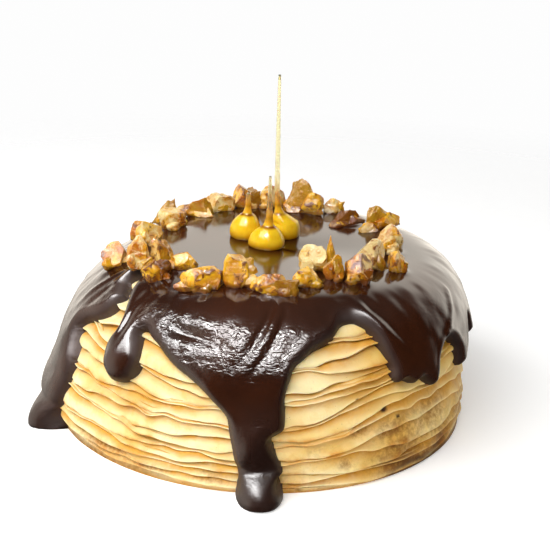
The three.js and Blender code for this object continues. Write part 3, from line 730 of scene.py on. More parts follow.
def smooth_loop(points, spacing):
    """A closed Catmull-Rom curve through points, one turn of the cake long in x."""
    turn = np.array([2 * HALF_TURN, 0])
    points = np.array([(azimuth * MM_PER_DEGREE, height) for azimuth, height in points], float)
    count = len(points)
    around = np.vstack([points[-1] - turn, points, points[0] + turn, points[1] + turn])
    curve = []
    for i in range(count):
        a, b, c, d = around[i : i + 4]
        steps = max(int(np.linalg.norm(c - b) / spacing), 1)
        for t in np.arange(steps) / steps:
            curve.append(catmull(a, b, c, d, t))
    return np.array(curve)


def glaze_edge():
    """The glaze's whole lower edge, from the left foot round the front, right and back."""
    edge = list(FRONT_EDGE)
    arch = FIRST_ARCH
    ends = [drip["at"] for drip in BACK_DRIPS[1:]] + [FRONT_EDGE[0][0] + 360]
    for drip, following in zip(BACK_DRIPS, ends):
        at, tip = drip["at"], drip["tip"]
        for out, up in reversed(DRIP_SIDE):
            edge.append((at - DRIP_HALF * out, lerp(tip, arch, up)))
        edge.append((at, tip))
        arch = drip["arch"]
        for out, up in DRIP_SIDE:
            edge.append((at + DRIP_HALF * out, lerp(tip, arch, up)))
        edge.append((lerp(at, following, 0.5), arch))
    return smooth_loop(edge, 0.4)


class Edge:
    """Finds the nearest point of the glaze's edge, and on which side of it a point is."""

    def __init__(self, curve):
        turn = np.array([2 * HALF_TURN, 0])
        self.points = np.vstack([curve - turn, curve, curve + turn])
        along = np.roll(self.points, -1, axis=0) - np.roll(self.points, 1, axis=0)
        along[0], along[-1] = along[1], along[-2]
        along /= np.maximum(np.linalg.norm(along, axis=1), 1e-9)[:, None]
        self.inward = np.stack([-along[:, 1], along[:, 0]], axis=1)
        self.tree = kdtree.KDTree(len(self.points))
        for i, (x, y) in enumerate(self.points):
            self.tree.insert((x, y, 0), i)
        self.tree.balance()

    def nearest(self, places):
        """Index of the nearest edge point and signed distance, positive on the glaze."""
        index = np.array([self.tree.find((x, y, 0))[1] for x, y in places])
        apart = places - self.points[index]
        side = np.sign((apart * self.inward[index]).sum(axis=1))
        return index, side * np.linalg.norm(apart, axis=1)


def fold_height(azimuth, height):
    """How far the folds raise or lower the glaze."""
    total = np.zeros_like(azimuth)
    for start, end, tall, width in FLOW_FOLDS:
        start, end = (np.array([at * MM_PER_DEGREE, level]) for at, level in (start, end))
        along = end - start
        x = turn_between(azimuth, 0) * MM_PER_DEGREE - start[0]
        y = height - start[1]
        share = np.clip((x * along[0] + y * along[1]) / (along @ along), 0, 1)
        away = np.hypot(x - share * along[0], y - share * along[1])
        fade = np.sin(math.pi * np.clip(share, 0.08, 0.92)) ** 0.5
        total += tall * bump(away, 0, width) * fade
    return total


def thinning(region, azimuth):
    return region["by"] * bump(azimuth, region["at"], region["half"])


def glaze_thickness(azimuth, height, inside):
    """How thick the glaze is at a distance `inside` its edge."""
    body = GLAZE_THICKNESS - thinning(SIDE_THINNING, azimuth)
    for bead in BEADS:
        body += spot(azimuth, height, *bead) * dome(inside / BEAD_RISE)
    for drip in BACK_DRIPS:
        head = drip["tip"] + DRIP_HEAD["above"]
        round_it = (drip["at"], head, DRIP_HEAD["half"], DRIP_HEAD["tall"], DRIP_SWELL)
        body += spot(azimuth, height, *round_it) * (1 - thinning(HEAD_THINNING, azimuth))
    side = 1 - smoothstep(height, 80, 83.5)
    body += side * lumps(place(azimuth, np.full_like(azimuth, 100.0), height), *GLAZE_LUMPS)
    body += side * ROLL["height"] * bump(inside, ROLL["inside"], ROLL["half"])
    body += side * fold_height(azimuth, height)
    return body


def drip_at(azimuth, height):
    """1 on the narrow drips and 0 elsewhere."""
    drips = np.zeros_like(azimuth)
    for at, half, top in ROUNDED:
        across = turn_between(azimuth, at) * MM_PER_DEGREE
        drips += bump(across, 0, half) * (1 - smoothstep(height, top - 8, top + 6))
    return np.clip(drips, 0, 1)


def collars(azimuth, way):
    """The glaze climbs a little round each thing that sits in it."""
    x, y, _ = place(azimuth, outer_form(azimuth, way)[0], np.zeros_like(azimuth)).T
    total = np.zeros_like(azimuth)
    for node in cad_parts:
        if not node.startswith(("brittle_", "caramel_")):
            continue
        low, high = (np.array(corner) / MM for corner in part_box(node))
        middle, half = (low + high) / 2, (high - low) / 2
        if node.startswith("caramel_"):
            nut = HAZELNUTS[node.split("_")[-1]]
            half[:] = nut["radius"]
            middle[:2] = nut["at"]
        apart = np.hypot((x - middle[0]) / half[0], (y - middle[1]) / half[1]) - COLLAR_START
        away = np.maximum(apart, 0) * min(half[0], half[1])
        climb = NUT_COLLAR if node.startswith("caramel_") else COLLAR_HEIGHT
        total = np.maximum(total, climb * np.exp(-((away / COLLAR_REACH) ** 1.3)))
    return total


def foot_spread(azimuth, height, inside):
    """How far the drips that stand on the table spread outwards, and sideways in degrees."""
    out = np.zeros_like(azimuth)
    sideways = np.zeros_like(azimuth)
    for foot in FEET:
        away = turn_between(azimuth, foot["at"])
        across = away * MM_PER_DEGREE / foot["half"]
        up = np.clip((height / foot["tall"] - FOOT_WIDEST) / (1 - FOOT_WIDEST), -1, 1)
        share = np.maximum(0, 1 - across**2) ** 0.7 * (1 - up**2) * dome(inside / 8)
        out += foot["reach"] * share
        sideways += FOOT_FLARE * away * np.sqrt(share)
    return out, sideways


def glaze_rows():
    """The places of the rows of points up the unrolled glaze: their heights, and past the
    shoulder's top their distances over the flat top."""
    way = np.linspace(3, 1, 4000)
    radius, height = outer_form(np.zeros_like(way), way)
    walked = np.concatenate([[0], np.cumsum(np.hypot(np.diff(radius), np.diff(height)))])
    rows = np.interp(np.arange(0, walked[-1], CELL), walked, height)
    rings = np.linspace(0, 1, TOP_RINGS + 1) ** 1.15
    flat_rows = STACK_HEIGHT + FLAT_TOP_RADIUS["front"] * rings
    return np.concatenate([rows[:-1], flat_rows])


def way_of(azimuth, y):
    """The `way` at a place `y` up the unrolled glaze."""
    on_top = 1 - np.clip((y - STACK_HEIGHT) / FLAT_TOP_RADIUS["front"], 0, 1)
    return np.where(y >= STACK_HEIGHT, on_top, way_at(azimuth, np.minimum(y, STACK_HEIGHT)))


def near_edge(bm, edge):
    """The places of a flat sheet's points, where they are against the edge, and which of
    them belong to its outer face."""
    flat = corners(bm)
    index, inside = edge.nearest(flat[:, :2])
    return flat, index, inside, flat[:, 2] > -0.5


def flat_sheet():
    """A grid one turn of the cake long, with its rows at the glaze's heights."""
    rows = glaze_rows()
    columns = int(2 * HALF_TURN / CELL)
    bm = bmesh.new()
    bmesh.ops.create_grid(bm, x_segments=columns, y_segments=len(rows) - 1, size=1)
    flat = corners(bm)
    row = np.rint((flat[:, 1] + 1) / 2 * (len(rows) - 1)).astype(int)
    set_corners(bm, np.column_stack([flat[:, 0] * HALF_TURN, rows[row], 0 * flat[:, 0]]))
    return bm


def cut_out(bm, edge):
    """Cuts the sheet along the edge and gives it an inner face at z = -1."""
    flat, _, inside, _ = near_edge(bm, edge)
    bm.faces.ensure_lookup_table()
    gone = (inside < OUTSIDE) & (flat[:, 1] < NEAR_TOP)
    outside = [face for face in bm.faces if all(gone[v.index] for v in face.verts)]
    bmesh.ops.delete(bm, geom=outside, context="FACES")
    grown = bmesh.ops.extrude_face_region(bm, geom=bm.faces[:], use_keep_orig=True)
    for item in grown["geom"]:
        if isinstance(item, bmesh.types.BMVert):
            item.co.z = -1

    # No walls where the sheet's two ends will meet, and no inner face under the flat top,
    # where one flat face will close it.
    needless = []
    for face in bm.faces:
        at_end = all(abs(v.co.x) > HALF_TURN - 0.01 for v in face.verts)
        inner_top = any(v.co.z < -0.5 and v.co.y > STACK_HEIGHT + 0.1 for v in face.verts)
        if at_end or inner_top:
            needless.append(face)
    bmesh.ops.delete(bm, geom=needless, context="FACES")


def settle_on_edge(bm, edge):
    """Doubles the points near the edge. Those next to it move onto it, and the others settle
    between their neighbours. Tells which points lie on the edge."""
    bm.verts.index_update()
    flat, _, inside, outer = near_edge(bm, edge)
    fine = outer & (np.abs(inside) < FINE_REACH) & (flat[:, 1] < NEAR_TOP)
    split = [e for e in bm.edges if fine[e.verts[0].index] and fine[e.verts[1].index]]
    bmesh.ops.subdivide_edges(bm, edges=split, cuts=1, use_grid_fill=True)
    bm.verts.index_update()
    bm.verts.ensure_lookup_table()
    for settled in range(SETTLING + 1):
        flat, index, inside, outer = near_edge(bm, edge)
        fine = outer & (flat[:, 1] > 0.2) & (np.abs(inside) < FINE_REACH)
        onto = fine & (inside > -0.5 * CELL) & (inside < 0.25 * CELL)
        flat[onto, :2] = edge.points[index[onto]]
        set_corners(bm, flat)
        if settled < SETTLING:
            seam = np.abs(np.abs(flat[:, 0]) - HALF_TURN) < 0.1
            free = [bm.verts[i] for i in np.flatnonzero(fine & ~onto & ~seam)]
            bmesh.ops.smooth_vert(
                bm, verts=free, factor=0.5, use_axis_x=True, use_axis_y=True
            )
    return onto


def crinkle_at(azimuth, y):
    """How crinkled the glaze's skin is: most where it stretched over the front shoulder."""
    apron = smoothstep(azimuth, *CRINKLED_LEFT) * (1 - smoothstep(azimuth, *CRINKLED_RIGHT))
    low = CRINKLED_LOW + CRINKLED_RISE * np.maximum(0, CRINKLED_RISE_FROM - azimuth)
    band = smoothstep(y, low - 4, low + 2) * (1 - smoothstep(y, *CRINKLED_TOP))
    calm = bump(azimuth, CALM["at"], CALM["half"]) * bump(y, CALM["height"], CALM["tall"])
    drip = bump(azimuth, 0, 14) * smoothstep(y, -20, 20) + bump(azimuth, -72, 9)
    rest = CRINKLED_REST + CRINKLED_DRIP * np.clip(drip, 0, 1)
    crinkled = apron * band * (1 - CALM["by"] * calm)
    return np.maximum(crinkled, rest * (1 - smoothstep(y, 74, 82)))


def glaze_looks(azimuth, y, inside, drips):
    """Where the glaze is crinkled, thin enough to look brown, and satin instead of glossy."""
    side = y < STACK_HEIGHT - 1
    foot = 1 - smoothstep(y, *SATIN_FOOT_TO)
    satin = [drips * SATIN_DRIP, bump(inside, 0, SATIN_EDGE) * side, SATIN_FOOT * foot]
    return {
        "crinkle": crinkle_at(azimuth, y),
        "thin": bump(inside, 0, THIN_EDGE) * side,
        "satin": np.maximum.reduce(satin),
    }


def glaze():
    """The glaze, worked out flat and then wrapped round the cake."""
    edge = Edge(glaze_edge())
    bm = flat_sheet()
    cut_out(bm, edge)
    onto = settle_on_edge(bm, edge)
    flat, _, inside, outer = near_edge(bm, edge)
    x, y = flat[:, 0], flat[:, 1]
    inside = np.where(y > NEAR_TOP, np.maximum(inside, 20), inside)
    inside[onto] = 0
    azimuth = x / MM_PER_DEGREE
    height = np.minimum(y, STACK_HEIGHT)
    depth = np.maximum(inside, 0)
    body = GLAZE_GAP + glaze_thickness(azimuth, height, depth)
    body += collars(azimuth, way_of(azimuth, y)) * (y > COLLARS_ABOVE)
    out, sideways = foot_spread(azimuth, height, depth)
    drips = drip_at(azimuth, y)
    lip = lerp(CONTACT, body, dome(depth / (LIP_WIDTH + LIP_ROUNDING * drips))) + out
    face = np.where(inside >= 0, lip, np.maximum(CONTACT + inside * 4, -DIVE))
    under = lerp(-DIVE - 1, CONTACT, smoothstep(inside, OUTSIDE, 4))
    radius, level = form_point(azimuth, way_of(azimuth, y), np.where(outer, face, under))
    radius = np.where(y >= STACK_HEIGHT + FLAT_TOP_RADIUS["front"], 0, radius)
    level = np.where(y < 0.2, 0, np.maximum(level, 0))
    for label, values in glaze_looks(azimuth, y, inside, drips).items():
        paint(bm, label, values)
    set_corners(bm, place(azimuth + np.where(outer, sideways, 0), radius, level))
    bmesh.ops.remove_doubles(bm, verts=bm.verts[:], dist=0.01)
    ring = [e for e in bm.edges if e.is_boundary]
    closing = bmesh.ops.edgeloop_fill(bm, edges=ring)["faces"]
    bmesh.ops.poke(bm, faces=closing)
    bmesh.ops.recalc_face_normals(bm, faces=bm.faces[:])
    finished("poured_glaze", bm, corners(bm), ["chocolate_glaze"], glaze_finish())


# ---- The ring of brittle ----------------------------------------------------------------


# Each piece of brittle: turn about its upright axis and lean in degrees, how burnt its
# caramel is and how much of its nuts the caramel covers, both from 0 to 1.
BRITTLE = {
    1: (20, 8, 0.3, 0.95), 2: (80, 0, 0.1, 0.6), 3: (10, 12, 0.1, 0.5), 4: (40, 0, 0.6, 1),
    5: (15, 0, 1, 1), 6: (-25, 10, 0.45, 0.9), 7: (-22, 6, 0.5, 0.95), 8: (10, 0, 0.4, 0.9),
    9: (30, 0, 0.5, 0.9), 10: (60, 10, 0.1, 0.35), 11: (35, 14, 0.4, 0.9),
    12: (-20, 20, 0.4, 0.9), 13: (10, 6, 0.2, 0.4), 14: (-15, 0, 0.6, 0.8),
    15: (5, 0, 0.5, 0.6), 16: (-14, -8, 0.5, 0.9), 17: (25, 0, 0.15, 0.6),
    18: (38, 4, 0.95, 1), 19: (30, -12, 0.35, 0.9), 20: (70, 10, 0.1, 0.5),
    21: (15, 0, 0.4, 1), 22: (40, 8, 0.45, 0.3), 23: (0, 0, 1, 0.9), 24: (-20, 0, 0.35, 1),
    25: (30, 14, 0.05, 0.2), 26: (20, -8, 0.05, 1), 27: (12, 0, 0.15, 0.8),
    28: (-6, 0, 0.6, 0.8),
}
# What the pieces are made of: a broken nut, a lump or a plate of caramel, with its middle and
# half its size in a box from -1 to 1.
PARTS = {
    "nut": [
        ("nut", (0, 0, 0), (1, 1, 1)),
        ("lump", (0.4, -0.45, -0.35), (0.6, 0.55, 0.6)),
        ("crumb", (-0.5, -0.5, -0.45), (0.5, 0.5, 0.5)),
    ],
    "chunk": [
        ("nut", (-0.2, -0.1, 0), (0.8, 0.9, 0.95)),
        ("lump", (0.35, -0.2, -0.1), (0.65, 0.8, 0.85)),
        ("crumb", (0.45, -0.55, -0.4), (0.5, 0.45, 0.55)),
    ],
    "shard": [
        ("plate", (0, 0, 0), (1, 0.8, 1)),
        ("nut", (0.3, -0.3, -0.35), (0.65, 0.7, 0.65)),
        ("crumb", (-0.5, -0.4, -0.5), (0.5, 0.6, 0.5)),
    ],
}
SPIKE_PIECE = 26
SPREAD = 1.17            # the pieces are this many times as wide as their solids
RISE = 0.8               # and this much taller, in millimetres,
SINK = 2.2               # and reach this much deeper into the glaze
FOOT_HEIGHT = 4.2        # the caramel round their feet is darker up to here
NUT_CUTS, LUMP_CUTS, PLATE_CUTS = 3, 6, 5
# How far the cuts' directions spread along the three axes: a plate is cut mostly at its rim.
LUMP_SPREAD, PLATE_SPREAD = (1, 1, 1), (1, 0.3, 1)
PLATE_TAPER = 0.45       # a plate is this share narrower at its top and wider at its foot
HOLLOW_ROUNDS = 2        # rounds in which the measured hollows are spread to neighbours
CRISP = 38               # edges sharper than this angle stay crisp


def brittle_finish():
    """Broken nuts in hard caramel: cream where they broke, golden where the caramel covers
    them, with scraps of brown skin; clear amber, burnt in places, where it stands alone. The
    feet are darker where they sit in the chocolate, and the hollows get painted shade."""
    f = Finish(
        "nut_brittle", Roughness=0.13, Specular_IOR_Level=0.75, Subsurface_Weight=0.15,
        Subsurface_Scale=0.0015, Subsurface_Radius=(1.0, 0.6, 0.2),
    )
    labels = ("clear", "broken", "burnt", "covered", "foot", "hollow")
    clear, broken, burnt, covered, foot, hollow = (f.attribute(label) for label in labels)
    wide = f.noise(110, 2, 0.5, 0.4)
    patches = f.noise(210, 4, 0.6, 0.6)
    fine = f.noise(750, 4, 0.6)
    cream = f.mix(fine, shade(250, 232, 176), shade(234, 196, 108))
    golden = f.mix(f.span(wide, 0.35, 0.65), shade(242, 184, 32), shade(186, 104, 8))
    skin = f.mix(fine, shade(84, 40, 14), shade(150, 88, 34))
    coat = f.plus(f.span(patches, 0.36, 0.64, -0.45, 0.45), covered, clamp=True)
    nut = f.mix(f.span(coat, 0.1, 0.6), cream, golden)
    scraps = f.plus(patches, f.times(burnt, 0.16))
    nut = f.mix(f.span(scraps, 0.6, 0.69), nut, skin)
    bare = f.times(broken, f.span(patches, 0.4, 0.58, 0.9, 0.15))
    nut = f.mix(bare, nut, cream)

    amber = f.mix(burnt, shade(255, 200, 50), shade(150, 84, 18))
    streak = f.mix(burnt, shade(226, 140, 22), shade(74, 34, 10))
    amber = f.mix(f.span(patches, 0.5, 0.68), amber, streak)
    body = f.mix(clear, nut, amber)
    # The feet are darker where they sit in the chocolate, and the hollows get painted shade.
    dark_foot_and_hollow_shade = f.times(foot, f.span(wide, 0.3, 0.6, 0.55, 0.95))
    dark_foot_and_hollow_shade = f.maths("MAXIMUM", dark_foot_and_hollow_shade, f.times(hollow, 0.85))
    body = f.mix(dark_foot_and_hollow_shade, body, shade(104, 50, 10))
    see = f.times(clear, f.span(patches, 0.45, 0.7, 0.35, 0.1))
    relief = f.plus(f.times(fine, 0.45), patches)
    return f.set(Base_Color=body, Transmission_Weight=see, Normal=f.bump(relief, 1.2, 0.9))


def cut_off(bm, normal, away):
    """Cuts off what lies further than `away` along a direction; the cut's edges."""
    everything = bm.verts[:] + bm.edges[:] + bm.faces[:]
    parted = bmesh.ops.bisect_plane(
        bm, geom=everything, plane_co=normal * away, plane_no=normal, clear_outer=True
    )
    return [item for item in parted["geom_cut"] if isinstance(item, bmesh.types.BMEdge)]


def cut_way(seed, draw, spread=(1, 1, 1), upward=True):
    """A random direction to cut in, spread by these shares along the three axes."""
    way = Vector([(seeded(seed, draw * 3 + axis) - 0.5) * spread[axis] for axis in range(3)])
    if upward:
        way.z = abs(way.z)
    way.normalize()
    return way


def swell(bm, *layers):
    """Makes a mesh round its middle lumpy."""
    points = corners(bm)
    set_corners(bm, points * (1 + lumps(points, *layers))[:, None])


def broken_nut(bm, seed, bare_cuts):
    """A lumpy nut, broken along flat faces, of which some are bare of caramel."""
    bmesh.ops.create_icosphere(bm, subdivisions=4, radius=1)
    swell(bm, (0.24, 0.8, seed), (0.11, 0.33, seed + 50))
    layer = bm.verts.layers.float.new("broken")
    for cut in range(NUT_CUTS):
        normal = cut_way(seed, cut + 20)
        rim = cut_off(bm, normal, lerp(0.45, 0.8, seeded(seed, cut + 9)))
        faces = bmesh.ops.edgeloop_fill(bm, edges=rim)["faces"]
        bare = float(cut < bare_cuts)
        for vert in bmesh.ops.poke(bm, faces=faces)["verts"]:
            vert[layer] = bare
            vert.co -= normal * 0.05
        for edge in rim:
            for vert in edge.verts:
                vert[layer] = 0.5 * bare


def caramel_lump(bm, seed, plate):
    """A glassy plate or lump of caramel."""
    bmesh.ops.create_cube(bm, size=2)
    for cut in range(PLATE_CUTS if plate else LUMP_CUTS):
        normal = cut_way(seed, cut, PLATE_SPREAD if plate else LUMP_SPREAD, upward=plate)
        rim = cut_off(bm, normal, lerp(0.5, 0.9, seeded(seed, cut + 30)))
        if rim:
            bmesh.ops.edgeloop_fill(bm, edges=rim)
    bmesh.ops.bevel(
        bm, geom=bm.edges[:], offset=0.18, segments=3, profile=0.5, affect="EDGES",
        material=-1, clamp_overlap=True,
    )
    for cuts in (2, 1):
        bmesh.ops.triangulate(bm, faces=bm.faces[:])
        bmesh.ops.subdivide_edges(bm, edges=bm.edges[:], cuts=cuts, use_grid_fill=True)
    bmesh.ops.triangulate(bm, faces=bm.faces[:])
    swell(bm, (0.26, 0.6, seed), (0.1, 0.27, seed + 5))
    bm.verts.layers.float.new("broken")


def hollows(bm):
    """How hollow a mesh is at each point, from 0 to 1, for the painted shade in hollows."""
    bm.normal_update()
    values = []
    for vert in bm.verts:
        around = [edge.other_vert(vert).co for edge in vert.link_edges]
        middle = sum(around, Vector()) / len(around)
        size = sum((co - vert.co).length for co in around) / len(around)
        values.append(max(0.0, 4 * vert.normal.dot(middle - vert.co) / max(size, 1e-6)))
    values = np.array(values)
    pairs = np.array([[v.index for v in edge.verts] for edge in bm.edges])
    for _ in range(HOLLOW_ROUNDS):
        total, count = values.copy(), np.ones(len(values))
        for one, other in (pairs.T, pairs.T[::-1]):
            np.add.at(total, one, values[other])
            np.add.at(count, one, 1)
        values = total / count
    return np.clip(values, 0, 1)


def brittle_part(part, middle, size, covered, seed, turned):
    """A nut, lump, plate or crumb, fitted to its place in a box from -1 to 1."""
    bm = bmesh.new()
    clear = part in ("lump", "plate")
    if clear:
        caramel_lump(bm, seed, part == "plate")
    else:
        broken_nut(bm, seed, round(lerp(NUT_CUTS, 0.6, covered)))
    paint(bm, "clear", [float(clear)] * len(bm.verts))
    points = corners(bm) @ np.array(Matrix.Rotation(turned, 3, "Z")).T
    low, high = points.min(axis=0), points.max(axis=0)
    points = ((points - low) / (high - low) * 2 - 1) * np.array(size) + np.array(middle)
    if part == "plate":
        taper = 1 - PLATE_TAPER * (points[:, 2] - middle[2]) / size[2]
        points[:, :2] = points[:, :2] * (taper / (1 + PLATE_TAPER))[:, None]
    set_corners(bm, points)
    return bm


def brittle_piece(kind, number):
    """The parts of one piece in one mesh, in a box from -1 to 1."""
    whole = bmesh.new()
    for label in ("broken", "clear"):
        whole.verts.layers.float.new(label)
    parts = [("plate", (0, 0, 0), (1, 1, 1))] if number == SPIKE_PIECE else PARTS[kind]
    for i, (part, middle, size) in enumerate(parts):
        seed = number * 7 + i
        turned = math.tau * seeded(seed, 77) if i else 0
        bm = brittle_part(part, middle, size, BRITTLE[number][3], seed, turned)
        part_mesh = bpy.data.meshes.new("part")
        bm.to_mesh(part_mesh)
        bm.free()
        whole.from_mesh(part_mesh)
        bpy.data.meshes.remove(part_mesh)
    return whole


def brittle():
    """Each piece of brittle, in the place of its solid."""
    look = brittle_finish()
    for node in sorted(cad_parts):
        if not node.startswith("brittle_"):
            continue
        kind, number = node.split("_")[1:]
        turn, lean, burnt, covered = BRITTLE[int(number)]
        bm = brittle_piece(kind, int(number))
        low, high = (np.array(corner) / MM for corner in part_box(node))
        swung = Matrix.Rotation(math.radians(turn), 3, "Z")
        swung = swung @ Matrix.Rotation(math.radians(lean), 3, "Y")
        slim = 0.5 if kind == "shard" else 0.9
        middle, half = (low + high) / 2, (high - low) / 2
        low = np.array([*(middle - half * SPREAD)[:2], low[2] - SINK])
        high = np.array([*(middle + half * SPREAD)[:2], high[2] + RISE])
        points = (corners(bm) * (1, slim, 1)) @ np.array(swung).T
        least, most = points.min(axis=0), points.max(axis=0)
        points = low + (points - least) / (most - least) * (high - low)
        bm.verts.index_update()
        bmesh.ops.recalc_face_normals(bm, faces=bm.faces[:])
        shown = {
            "burnt": [burnt] * len(points),
            "covered": [covered] * len(points),
            "foot": 1 - smoothstep(points[:, 2] - low[2], SINK, SINK + FOOT_HEIGHT),
            "hollow": hollows(bm),
        }
        name = f"broken_{kind}_{number}"
        finished(name, bm, points, [node], look, shown, crisp=CRISP)


# ---- The caramel hazelnuts --------------------------------------------------------------

# Place, radius and height of the nut, height of the spike's tip above the glaze, its lean and
# the radius where the caramel necks in.
HAZELNUTS = {
    "left": {
        "at": (-11.3, 14.2), "radius": 8.4, "tall": 12.4, "tip": 24,
        "lean": (1.2, 0.4), "neck": 1.6,
    },
    "front": {
        "at": (0, -0.4), "radius": 9.4, "tall": 11, "tip": 36.5,
        "lean": (1, -0.6), "neck": 1.9,
    },
    "back": {
        "at": (9, 16), "radius": 8, "tall": 13, "tip": 82.5,
        "lean": (-4.6, -0.8), "neck": 1.7,
    },
}
# The side of a dipped nut, from its flat foot to where the caramel necks in: distance from
# the axis as a share of its radius, then height as a share of its own height.
NUT_SIDE = [
    (0, 0), (0.5, 0), (0.88, 0.005), (0.95, 0.045), (0.985, 0.1), (1, 0.2), (0.975, 0.33),
    (0.9, 0.48), (0.79, 0.63), (0.63, 0.78), (0.45, 0.91),
]
NUT_TURNS = 36           # steps round a nut, doubled afterwards
SPIKE_TIP_RADIUS = 0.75
LEAN_LENGTH = 4.5        # a nut leans over about this length, its spike stands straight
SEAT = STACK_HEIGHT + GLAZE_GAP + GLAZE_THICKNESS  # height of the glaze's flat top
SEAT_GAP = 0.1
DRAWN_OVER = 18          # the caramel turns pale over this height above the neck


def dipped_finish():
    """A nut under clear yellow caramel, drawn out into a pale amber spike."""
    f = Finish(
        "dipped_hazelnut", Roughness=0.13, Specular_IOR_Level=0.3, Subsurface_Weight=0.2,
        Subsurface_Scale=0.002,
    )
    drawn, low, seam = (f.attribute(label) for label in ("drawn", "low", "seam"))
    fine = f.noise(260, 3, 0.5, 0.4)
    body = f.mix(fine, shade(244, 208, 48), shade(222, 166, 4))
    body = f.mix(f.times(low, 0.85), body, shade(172, 112, 2))
    body = f.mix(f.span(drawn, 0.0, 0.1), body, shade(242, 182, 40))
    dark_ring = f.times(seam, f.span(fine, 0.35, 0.6, 0.5, 1.0))
    body = f.mix(dark_ring, body, shade(120, 56, 8))
    body = f.mix(f.span(drawn, 0.3, 1.0), body, shade(255, 248, 206))
    see = f.span(drawn, 0.03, 0.6, 0.0, 0.85)
    return f.set(Base_Color=body, Transmission_Weight=see, Normal=f.bump(fine, 0.35, 0.6))


def hazelnut_section(nut):
    """Half a section through a dipped nut, as radius and height."""
    radius, tall, tip, neck = nut["radius"], nut["tall"], nut["tip"], nut["neck"]
    outline = [(radius * out, tall * up) for out, up in NUT_SIDE]
    outline += [(neck * 1.5, tall * 1.0), (neck * 1.15, tall * 1.14), (neck, tall * 1.34)]
    outline += [(neck * 0.85, tall * 1.75)]
    outline += [(SPIKE_TIP_RADIUS * 1.6, lerp(tall * 1.75, tip, 0.35))]
    outline += [(SPIKE_TIP_RADIUS, tip - 0.8), (SPIKE_TIP_RADIUS * 0.7, tip - 0.2), (0, tip)]
    points = np.array([outline[0], *outline, outline[-1]])
    section = []
    for a, b, c, d in zip(points, points[1:], points[2:], points[3:]):
        section += [catmull(a, b, c, d, t) for t in (0, 0.33, 0.67)]
    first, *others = section
    return [(0, first[1]), *((max(r, 0.02), z) for r, z in others), outline[-1]]


def hazelnut(which, nut, material):
    """A dipped nut with its spike, turned round its axis and then made uneven."""
    tall = nut["tall"]
    bm = bmesh.new()
    verts = [bm.verts.new((r, 0, z)) for r, z in hazelnut_section(nut)]
    edges = [bm.edges.new(pair) for pair in zip(verts, verts[1:])]
    bmesh.ops.spin(
        bm, geom=verts + edges, cent=(0, 0, 0), axis=(0, 0, 1), angle=math.tau,
        steps=NUT_TURNS, use_merge=True,
    )
    bmesh.ops.remove_doubles(bm, verts=bm.verts[:], dist=1e-4)
    bmesh.ops.recalc_face_normals(bm, faces=bm.faces[:])
    bmesh.ops.subdivide_edges(bm, edges=bm.edges[:], cuts=1, use_grid_fill=True)
    points = corners(bm)
    height = points[:, 2].copy()
    turn = np.arctan2(points[:, 1], points[:, 0])
    ribs = 0.025 * np.sin(3 * turn + tall) + 0.012 * np.sin(8 * turn)
    ribs += lumps(points, (0.05, 7, tall))
    spike = smoothstep(height, tall * 0.8, tall * 1.3)
    uneven = ribs * (1 - spike) + spike * lumps(points, (0.12, 2.2, 4))
    points[:, :2] *= (1 + uneven)[:, None]
    leant = 1 - np.exp(-np.maximum(0, height - tall * 0.6) / LEAN_LENGTH)
    points[:, 0] += nut["at"][0] + nut["lean"][0] * leant
    points[:, 1] += nut["at"][1] + nut["lean"][1] * leant
    points[:, 2] += SEAT + SEAT_GAP
    shown = {
        "drawn": np.clip((height - tall * 0.95) / DRAWN_OVER, 0, 1),
        "low": 1 - smoothstep(height, 0, tall * 0.5),
        "seam": bump(height, tall * 0.96, 0.7) + 0.6 * bump(height, tall + 4, 0.7),
    }
    name = f"dipped_hazelnut_{which}"
    finished(name, bm, points, [f"caramel_hazelnut_{which}"], material, shown)


def hazelnuts():
    material = dipped_finish()
    for which, nut in HAZELNUTS.items():
        hazelnut(which, nut, material)


# ---- Studio -----------------------------------------------------------------------------

CAMERA_DISTANCE = 802
CAMERA_RISE = 20.1       # degrees
CAMERA_ROLL = 1.44
CAMERA_TARGET = (4.5, 0, 71.3)
CAMERA_LENS, CAMERA_SENSOR = 102.6, 36
# The lights: direction, width, height and power, and whether it is a glint.
LIGHTS = {
    "window": ((-0.47, -0.45, 0.76), 1250, 420, 9.5, False),
    "window_glint": ((-0.33, -0.38, 0.87), 1000, 380, 13, True),
    "spark": ((-0.23, -0.35, 0.93), 85, 85, 3.4, True),
}
LIGHT_DISTANCE = 800     # from a point over the middle of the cake's base,
LIGHT_AIM = 50           # at this height


def camera():
    rise, roll = math.radians(CAMERA_RISE), math.radians(CAMERA_ROLL)
    back = Vector((0, -math.cos(rise), math.sin(rise)))
    right = Vector((1, 0, 0))
    up = right.cross(-back)
    leaning_right = math.cos(roll) * right + math.sin(roll) * up
    leaning_up = -math.sin(roll) * right + math.cos(roll) * up
    turned = Matrix((leaning_right, leaning_up, back)).transposed().to_4x4()
    data = bpy.data.cameras.new("camera")
    data.sensor_width = CAMERA_SENSOR
    data.lens = CAMERA_LENS
    view = bpy.data.objects.new("camera", data)
    bpy.context.scene.collection.objects.link(view)
    eye = (Vector(CAMERA_TARGET) + back * CAMERA_DISTANCE) * MM
    view.matrix_world = Matrix.Translation(eye) @ turned
    bpy.context.scene.camera = view


def softbox(name, way, wide, tall, power, glint):
    """A rectangular light. A glint shows in glossy surfaces only, any other light everywhere
    but in them."""
    data = bpy.data.lights.new(name, "AREA")
    data.shape = "RECTANGLE"
    data.size, data.size_y = wide * MM, tall * MM
    data.energy = power
    lamp = bpy.data.objects.new(name, data)
    bpy.context.scene.collection.objects.link(lamp)
    aim = Vector(way).normalized()
    lamp.location = (Vector((0, 0, LIGHT_AIM)) + aim * LIGHT_DISTANCE) * MM
    lamp.rotation_mode = "QUATERNION"
    lamp.rotation_quaternion = aim.to_track_quat("Z", "Y")
    lamp.visible_diffuse = not glint
    lamp.visible_transmission = not glint
    lamp.visible_glossy = glint


